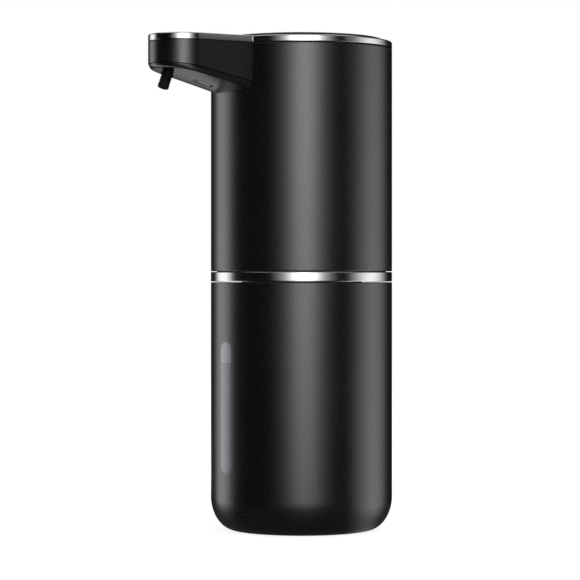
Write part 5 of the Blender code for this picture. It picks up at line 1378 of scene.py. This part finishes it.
def make_nozzle(context):
    """The soft spout tip: a ribbed tube with a collar, a flange inside and the hose's barb."""
    sizes = context.scene.dispenser_sizes
    tip = -NOZZLE_DROP
    depth = sizes.rib_depth
    corners = [
        (NOZZLE_BORE, NOZZLE_FLANGE_TOP, 0),
        (NOZZLE_BORE, tip, NOZZLE_EDGE),
        (NOZZLE_RADIUS, tip, NOZZLE_TIP_EDGE),
    ]
    for number in range(sizes.ribs):
        level = tip + FIRST_RIB + number * sizes.rib_pitch
        floor_start, floor_end, end = (level + share * sizes.rib_pitch for share in RIB_SHARES)
        corners += [
            (NOZZLE_RADIUS, level, depth / 2),
            (NOZZLE_RADIUS - depth, floor_start, depth / 2),
            (NOZZLE_RADIUS - depth, floor_end, depth / 2),
            (NOZZLE_RADIUS, end, depth / 2),
        ]
    collar = NOZZLE_RADIUS + 2 * depth
    corners += [
        (NOZZLE_RADIUS, COLLAR_BOTTOM, 0),
        (collar, COLLAR_BOTTOM, NOZZLE_EDGE),
        (collar, COLLAR_TOP, NOZZLE_EDGE),
        (NOZZLE_RADIUS, COLLAR_TOP, 0),
        (NOZZLE_RADIUS, NOZZLE_FLANGE_BOTTOM, 0),
        (NOZZLE_FLANGE_RADIUS, NOZZLE_FLANGE_BOTTOM, NOZZLE_EDGE),
        (NOZZLE_FLANGE_RADIUS, NOZZLE_FLANGE_TOP, NOZZLE_EDGE),
        (NOZZLE_RADIUS, NOZZLE_FLANGE_TOP, 0),
        (NOZZLE_RADIUS, NOZZLE_HEAD, NOZZLE_EDGE),
        (0, NOZZLE_HEAD, 0),
        (0, NOZZLE_FLANGE_TOP, 0),
    ]
    nozzle = lathe("nozzle_tip", corners, 2 * SMALL_STEPS, closed=True)
    seat = nozzle_axes()
    nozzle.data.transform(seat)
    level = Matrix.Rotation(-math.pi / 2, 4, "X")
    start = seat @ Vector((0, 0, BARB_START))
    join(nozzle, rod("barb", BARB_RADIUS, start, BARB_LENGTH, level))
    material = rubber("nozzle_rubber", (0.006, 0.006, 0.0065), 0.5, 0.1)
    finish_piece(nozzle, "head", "nozzle_rubber", material, "nozzle")


def make_frame(context):
    """The bright frame round the head's top, with the ledge under the panel."""
    soft = context.scene.dispenser_sizes.frame_rounding
    bm = bmesh.new()
    inner = TRIM_WALL + TRIM_LEDGE
    corners = (
        (inner, TRIM_BOTTOM),
        (inner, TRIM_LEDGE_TOP),
        (TRIM_WALL, TRIM_LEDGE_TOP),
        (TRIM_WALL, TRIM_TOP),
        (0, TRIM_TOP),
        (0, TRIM_BOTTOM),
    )
    loft(bm, [traced(keyhole, inset, height) for inset, height in corners], closed=True)
    soften(bm, soft, above(TRIM_TOP - OVERRUN / 100), 2 * SOFT_STEPS)
    soften(bm, soft / 3, below(TRIM_BOTTOM + OVERRUN / 100), SOFT_STEPS)
    trim = as_object(bm, "top_frame")
    finish_piece(trim, "head", "bright_trim", bright_plating("frame_plating"), "top_trim")


def make_panel(context):
    """The glossy top: a keyhole plate with a round table, pierced for the key and light."""
    sizes = context.scene.dispenser_sizes
    bm = bmesh.new()
    outline = keyhole(bm, TRIM_WALL + sizes.panel_gap, PANEL_BOTTOM)
    thicken(bm, outline.close(), (0, 0, PANEL_TOP - PANEL_BOTTOM))
    soften(bm, sizes.soft_edge, above(PANEL_BOTTOM + OVERRUN / 10))
    panel = as_object(bm, "top_gloss_panel")
    table = lathe(
        "table",
        [
            (0, TABLE_TOP, 0),
            (TABLE_RADIUS, TABLE_TOP, TABLE_SHOULDER),
            (TABLE_RADIUS, PANEL_TOP - TABLE_SHOULDER, 0),
            (0, PANEL_TOP - TABLE_SHOULDER, 0),
        ],
    )
    join(panel, table)
    tall = 4 * OVERRUN
    foot = PANEL_BOTTOM - OVERRUN
    hole_radius = BUTTON_RADIUS + sizes.key_gap
    hole = rod("key_hole", hole_radius, (0, 0, foot), tall, steps=2 * SMALL_STEPS)
    cut(panel, hole, light_prism("light_slot", 0, foot, TABLE_TOP + OVERRUN))
    material = gloss_plastic("panel_gloss", colours().gloss)
    finish_piece(panel, "head", "gloss_panel", material, "top_panel")


def light_prism(name, inset, bottom, top):
    bm = bmesh.new()
    half_length = LIGHT_FLANGE_HALF_LENGTH - LIGHT_FLANGE - inset
    half_width = LIGHT_FLANGE_HALF_WIDTH - LIGHT_FLANGE - inset
    outline = capsule(bm, half_length, half_width)
    thicken(bm, outline, (0, 0, top - bottom))
    bmesh.ops.translate(bm, vec=(0, LIGHT_PLACE, bottom), verts=bm.verts)
    return as_object(bm, name)


def make_key(context):
    """The power key, slightly dished."""
    sizes = context.scene.dispenser_sizes
    dish = sizes.key_dish
    floor = BUTTON_TOP - dish
    land = BUTTON_RADIUS * KEY_LAND_SHARE
    hollow_reach, hollow_rise = KEY_HOLLOW_SHARES
    key = lathe(
        "power_key",
        [
            (0, floor, 0),
            (BUTTON_RADIUS * hollow_reach, floor + dish * hollow_rise, 0),
            (land - dish, BUTTON_TOP - dish / 2, dish / 2),
            (land, BUTTON_TOP, dish / 2),
            (BUTTON_RADIUS, BUTTON_TOP, sizes.soft_edge),
            (BUTTON_RADIUS, BUTTON_FLANGE_TOP, 0),
            (BUTTON_FLANGE_RADIUS, BUTTON_FLANGE_TOP, 0),
            (BUTTON_FLANGE_RADIUS, BUTTON_BOTTOM, 0),
            (0, BUTTON_BOTTOM, 0),
        ],
        2 * SMALL_STEPS,
    )
    material = gloss_plastic("key_gloss", colours().gloss)
    finish_piece(key, "button", "gloss_button", material, "power_button")


def make_status_light(context):
    """A milky light guide in the panel, with a flange below it."""
    guide = light_prism("status_light", FIT / 3, LIGHT_BOTTOM + OVERRUN / 2, TABLE_TOP)
    flange = light_prism("light_flange", -LIGHT_FLANGE, LIGHT_BOTTOM, BUTTON_FLANGE_TOP)
    join(guide, flange)
    material = light_guide("status_light_milk")
    finish_piece(guide, "head", "indicator_white", material, "indicator_lens")


def make_port_flap(context):
    """A soft cover flush with the back wall, with a nail grip at its foot."""
    sizes = context.scene.dispenser_sizes
    bm = bmesh.new()
    tall = PORT_TOP - PORT_MIDDLE
    thickness = PORT_RECESS - FIT
    outline = rounded_rectangle(bm, PORT_HALF_WIDTH, tall, PORT_CORNER - FIT)
    thicken(bm, outline, (0, 0, thickness))
    soften(bm, sizes.soft_edge, below(thickness / 2))
    bmesh.ops.transform(bm, matrix=Matrix.Rotation(-math.pi / 2, 4, "X"), verts=bm.verts)
    bmesh.ops.translate(bm, vec=(0, -min(v.co.y for v in bm.verts), 0), verts=bm.verts)
    wrap_on_wall(bm, BODY_RADIUS, 1)
    bmesh.ops.translate(bm, vec=(0, 0, PORT_MIDDLE), verts=bm.verts)
    flap = as_object(bm, "port_flap")
    place = (0, BODY_RADIUS + GRIP_OFFSET, PORT_BOTTOM - OVERRUN)
    cut(flap, rod("grip", GRIP_RADIUS, place, GRIP_RADIUS))
    material = rubber("flap_rubber", (0.013, 0.0135, 0.014), 0.5)
    finish_piece(flap, "flap", "flap_rubber", material, "port_cover")


# Inner nodes that keep their packed shape


def dress_inside(context):
    grey = moulded_plastic("chassis_grey", (0.3, 0.31, 0.32), 0.45, 0.00002, 1800)
    dress_nodes(grey, "chassis", "pump_cover", "pump_housing")
    white = moulded_plastic("gear_nylon", (0.72, 0.71, 0.67), 0.42, 0.000015, 2200)
    dress_nodes(white, "drive_gear", "idler_gear", "intake_filter", "motor_end_cap")
    steel = turned_steel("turned_steel")
    dress_nodes(steel, "motor_can", "motor_shaft", "idler_pin", "charging_socket")
    screws = turned_steel("screw_steel", 0.45)
    dress_nodes(screws, *(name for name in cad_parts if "_screw_" in name))
    dress_nodes(turned_steel("rotor_steel", 0.35), "motor_rotor")
    dress_nodes(sintered_magnet("magnet_grey"), "motor_magnets")
    dress_nodes(rubber("gasket_rubber", (0.012, 0.012, 0.012)), "base_gasket", "shaft_seal")
    dress_nodes(silicone("tube_silicone", (0.66, 0.68, 0.68)), "outlet_tube", "dip_tube")
    dress_nodes(circuit_board("board_green"), "main_board", "display_board", "sensor_board")
    chips = moulded_plastic("chip_black", (0.015, 0.015, 0.017), 0.35, 0.00001, 3000)
    dress_nodes(chips, "button_switch", "infrared_receiver", "infrared_emitter")
    dress_nodes(shrink_sleeve("cell_film"), "battery_cell")
    dress_nodes(rubber("lead_sleeve", (0.38, 0.02, 0.02), 0.45), "motor_lead", "battery_lead")
    dress_nodes(rubber("cable_sleeve", (0.05, 0.05, 0.055), 0.45), "sensor_cable")


# Studio


def aim(obj, target):
    direction = Vector(target) - obj.location
    obj.rotation_euler = direction.to_track_quat("-Z", "Y").to_euler()


def make_camera(stage):
    data = bpy.data.cameras.new("photo_camera")
    data.lens = stage.lens
    data.sensor_width = SENSOR_WIDTH
    data.shift_x, data.shift_y = CAMERA_SHIFT
    camera = add_to_scene("photo_camera", data, CAMERA_PLACE)
    aim(camera, (0, 0, CAMERA_PLACE[2]))
    bpy.context.scene.camera = camera


def white_to_the_eye(g):
    """1 for what the camera, a mirror or glass sees, 0 for other light."""
    path = g.add("ShaderNodeLightPath").socket.node
    camera, glossy, through = (
        Wire(g, path.outputs[f"Is {kind} Ray"]) for kind in ("Camera", "Glossy", "Transmission")
    )
    return camera.at_least(glossy).at_least(through)


def make_world(stage):
    world = bpy.data.worlds.new("studio")
    bpy.context.scene.world = world
    g = Graph(world, "ShaderNodeOutputWorld")
    strength = stage.ambient + (1 - stage.ambient) * white_to_the_eye(g)
    g.end(g.add("ShaderNodeBackground", None, {"Color": (1, 1, 1), "Strength": strength}))


def make_floor():
    """A pale floor that looks white and keeps the object's shadow."""
    bm = bmesh.new()
    bmesh.ops.create_grid(bm, x_segments=4, y_segments=4, size=FLOOR_HALF_WIDTH)
    floor = as_object(bm, "floor")
    g = material_graph("floor_paper")
    fibre = g.noise(g.place(), 60)
    paper = g.mix(fibre, (0.3, 0.3, 0.3), (0.32, 0.32, 0.32))
    diffuse = g.add("ShaderNodeBsdfDiffuse", None, {"Color": paper})
    strength = FLOOR_GLOW * white_to_the_eye(g)
    glow = g.add("ShaderNodeEmission", None, {"Color": (1, 1, 1), "Strength": strength})
    floor.data.materials.append(g.end(g.add("ShaderNodeAddShader", None, {0: diffuse, 1: glow})))


def bowl_light(g, radius, panels):
    """The bowl's brightness: a dark room with soft panels and a glow where the object stands."""
    x, y, z = g.axes(g.place())
    forward = x * TOWARDS_CAMERA.x + y * TOWARDS_CAMERA.y
    across = x * TO_THE_RIGHT.x + y * TO_THE_RIGHT.y
    angle = g.add("ShaderNodeMath", {"operation": "ARCTAN2"}, {0: across, 1: forward})
    reach = (x * x + y * y) ** 0.5
    angle = angle / (1 - BOWL_TWIST * BODY_RADIUS / reach.at_least(BODY_RADIUS))
    level = STUDIO_SHADE + CONTACT_GLOW * (1 - reach.fade(BODY_RADIUS, 3 * BODY_RADIUS))
    raised = (z + BOWL_TILT * (reach - radius)).at_most(BOWL_LIMIT)
    below_end = 1 - z.fade(BOWL_LIMIT, 1.5 * BOWL_LIMIT)
    for middle, inner, outer, brightness, rise, dark, lit in panels:
        away = (angle - math.radians(middle)).size()
        away = away.at_most((2 * math.pi - away).size())
        panel = 1 - away.fade(math.radians(inner), math.radians(outer))
        strength = (brightness + brightness * rise * raised).at_least(0)
        level = panel * strength * reach.fade(dark, lit) * below_end + level
    return level


def make_bowl(stage):
    """A bowl of light and shade that only gloss sees, round the object and just over the floor."""
    bm = bmesh.new()
    radius = stage.bowl_radius
    floor_and_wall = ((BOWL_HOLE, 0, BOWL_LIFT), (radius, 0, BOWL_LIFT), (radius, 0, BOWL_TOP))
    draw_run(bm, floor_and_wall)
    full_spin(bm, ROUND_STEPS)
    bowl = as_object(bm, "studio_bowl")
    g = material_graph("studio_bowl")
    front, right, left = stage.front_light, stage.right_light, stage.left_light
    # Each panel: its middle in degrees from the camera, where its even part and its soft edge
    # end to each side, its strength, how that grows with height, and the reach over the
    # floor at which its reflection starts and is full.
    panels = (
        (stage.front_angle, 0, 27, 0.64 * front, 2.3, 0.028, 0.16),
        (stage.front_angle, 0, 45, 0.36 * front, 2.3, 0.028, 0.16),
        (stage.right_angle, 0, 42, right, -0.4, 0.018, 0.074),
        (61, 1.5, 6, -0.8, -3.15, 0.2, 0.3),
        (stage.left_angle, 6, 25, left, -0.1, 0.03, 0.11),
        (-171, 2.5, 6, -stage.back_light, 7.25, 0.2, 0.26),
    )
    level = bowl_light(g, radius, panels)
    glow = g.add("ShaderNodeEmission", None, {"Color": (1, 1, 1), "Strength": level})
    bowl.data.materials.append(g.end(glow))
    for kind in ("camera", "diffuse", "transmission", "shadow"):
        setattr(bowl, "visible_" + kind, False)


def make_lamps():
    """Three soft lamps that light what isn't glossy."""
    for name, degrees, distance, height, power in LAMPS:
        data = bpy.data.lights.new(name, "AREA")
        data.size = LAMP_SIZE
        data.energy = power
        turn = math.radians(degrees)
        place = distance * (math.cos(turn) * TOWARDS_CAMERA + math.sin(turn) * TO_THE_RIGHT)
        lamp = add_to_scene(name, data, (place.x, place.y, height))
        aim(lamp, (0, 0, LAMP_TARGET))
        lamp.visible_camera = False
        lamp.visible_glossy = False


def make_stage(context):
    stage = context.scene.dispenser_stage
    make_camera(stage)
    make_world(stage)
    make_floor()
    make_bowl(stage)
    make_lamps()
    context.scene.view_settings.view_transform = "Standard"


# Settings that a user would change


def length(name, description, default):
    return FloatProperty(name=name, description=description, default=default, unit="LENGTH")


def number(name, description, default, subtype="NONE"):
    return FloatProperty(
        name=name, description=description, default=default, subtype=subtype
    )


def colour(name, description, default):
    return FloatVectorProperty(
        name=name, description=description, default=default, subtype="COLOR"
    )


class DispenserSizes(bpy.types.PropertyGroup):
    soft_edge: length("Soft edge", "Rounding of moulded edges", 0.0003)
    bright_edge: length("Ring edge", "Rounding of the bright ring", 0.0003)
    frame_rounding: length("Frame rounding", "Rounding of the bright frame's top", 0.0005)
    pane_gap: length("Pane gap", "Joint round the level pane", 0.00003)
    panel_gap: length("Panel gap", "Joint round the top panel", 0.0002)
    key_gap: length("Key gap", "Joint round the power key", 0.00012)
    neck_core: length("Neck core", "Neck's radius between threads", 0.0242)
    thread_pitch: length("Thread pitch", "Rise of one turn on the neck", 0.0032)
    thread_turns: number("Thread turns", "Turns on the neck", 1.5)
    foot_rings: IntProperty(name="Grip rings", description="Grooves under the foot", default=4)
    foot_groove: length("Groove depth", "Depth of the foot's grooves", 0.0005)
    ribs: IntProperty(name="Nozzle ribs", description="Fine grooves round the nozzle", default=3)
    rib_pitch: length("Rib pitch", "Distance between the nozzle's grooves", 0.0012)
    rib_depth: length("Rib depth", "Depth of the nozzle's grooves", 0.0002)
    lens_dome: length("Lens dome", "Height of the sensor window's crown", 0.0002)
    key_dish: length("Key dish", "Hollow of the power key's top", 0.0003)
    shell_roughness: number("Shell roughness", "Of the satin mouldings", 0.27, "FACTOR")


class DispenserColours(bpy.types.PropertyGroup):
    shell: colour("Shell", "Satin black of head and bottle", (0.0045, 0.0046, 0.005))
    tray: colour("Tray", "Satin black under the spout", (0.0045, 0.0046, 0.005))
    gloss: colour("Gloss", "Polished black of the top", (0.006, 0.006, 0.0065))
    # Painted light and shade of the pane, both where it is empty and where the liquid is behind it
    pane_painted_lit_side: colour("Pane, light", "Empty pane's bright side", (0.27, 0.29, 0.315))
    pane_painted_shaded_side: colour("Pane, dark", "Empty pane's shaded side", (0.16, 0.175, 0.19))
    liquid_painted_lit_side: colour("Liquid, light", "Liquid's bright side", (0.155, 0.163, 0.2))
    liquid_painted_shaded_side: colour("Liquid, dark", "Liquid's shaded side", (0.065, 0.074, 0.1))
    # Colour of the glow painted on the wall round the pane
    painted_window_glow: colour("Glow", "Tint of the wall by the pane", (0.03, 0.032, 0.05))
    liquid_level: length("Liquid level", "Height of the liquid's surface", 0.0678)


class DispenserStage(bpy.types.PropertyGroup):
    lens: number("Lens", "Camera's focal length in mm", 153.9)
    ambient: number("Ambient", "Even light of the room", 0.5)
    bowl_radius: length("Bowl radius", "Distance of the studio's panels", 2.0)
    front_angle: number("Front angle", "Front panel's degrees from the camera", 4)
    front_light: number("Front light", "Front panel's strength", 2.85)
    right_angle: number("Right angle", "Right panel's degrees from the camera", 99)
    right_light: number("Right light", "Right panel's strength", 1.75)
    left_angle: number("Left angle", "Left panel's degrees from the camera", -118)
    left_light: number("Left light", "Left panel's strength", 1.8)
    back_light: number("Back light", "Glow behind the object", 1.9)


# Operators and panel


def builder(identity, label, doc, make):
    """An operator class that builds one piece, or one group of like pieces."""

    def execute(self, context):
        make(context)
        return {"FINISHED"}

    name = "DISPENSER_OT_" + identity
    fields = {
        "bl_idname": "dispenser." + identity,
        "bl_label": label,
        "__doc__": doc,
        "execute": execute,
    }
    return type(name, (bpy.types.Operator,), fields)


BUILDERS = (
    builder("stage", "Studio", "Camera, floor, lights and background", make_stage),
    builder("bottle", "Bottle body", "The bottle with its neck and thread", make_bottle),
    builder("pane", "Level pane", "The clear window in the bottle", make_pane),
    builder("foot", "Foot pad", "The soft pad under the bottle", make_foot),
    builder("seal", "Neck seal", "The lip seal on the bottle's neck", make_seal),
    builder("ring", "Middle ring", "The bright ring between head and bottle", make_ring),
    builder("head", "Head shell", "The head's moulding with the spout", make_head),
    builder("head_base", "Head underside", "The base that closes the head", make_head_base),
    builder("tray", "Spout tray", "The cover under the spout", make_tray),
    builder("lens", "Sensor window", "The dark window under the spout", make_lens),
    builder("nozzle", "Nozzle", "The ribbed outlet under the spout", make_nozzle),
    builder("frame", "Top frame", "The bright frame round the top", make_frame),
    builder("panel", "Top panel", "The glossy top with its table", make_panel),
    builder("key", "Power key", "The key in the top", make_key),
    builder("status_light", "Status light", "The light guide in the top", make_status_light),
    builder("port_flap", "Port flap", "The soft cover over the charging port", make_port_flap),
    builder("inside", "Inner parts", "Materials of the pump, motor, cell and boards", dress_inside),
)


class DISPENSER_PT_panel(bpy.types.Panel):
    """Lists the dispenser's pieces"""

    bl_idname = "DISPENSER_PT_panel"
    bl_label = "Soap dispenser"
    bl_space_type = "VIEW_3D"
    bl_region_type = "UI"
    bl_category = "Dispenser"

    def draw(self, context):
        for operator in BUILDERS:
            self.layout.operator(operator.bl_idname)


SETTINGS = (
    ("dispenser_sizes", DispenserSizes),
    ("dispenser_colours", DispenserColours),
    ("dispenser_stage", DispenserStage),
)


def register():
    for name, group in SETTINGS:
        bpy.utils.register_class(group)
        setattr(bpy.types.Scene, name, PointerProperty(type=group))
    for operator in BUILDERS:
        bpy.utils.register_class(operator)
    bpy.utils.register_class(DISPENSER_PT_panel)


def unregister():
    bpy.utils.unregister_class(DISPENSER_PT_panel)
    for operator in reversed(BUILDERS):
        bpy.utils.unregister_class(operator)
    for name, group in reversed(SETTINGS):
        delattr(bpy.types.Scene, name)
        bpy.utils.unregister_class(group)


def main():
    register()
    for operator in BUILDERS:
        getattr(bpy.ops.dispenser, operator.bl_idname.partition(".")[2])()


if __name__ == "__main__":
    main()
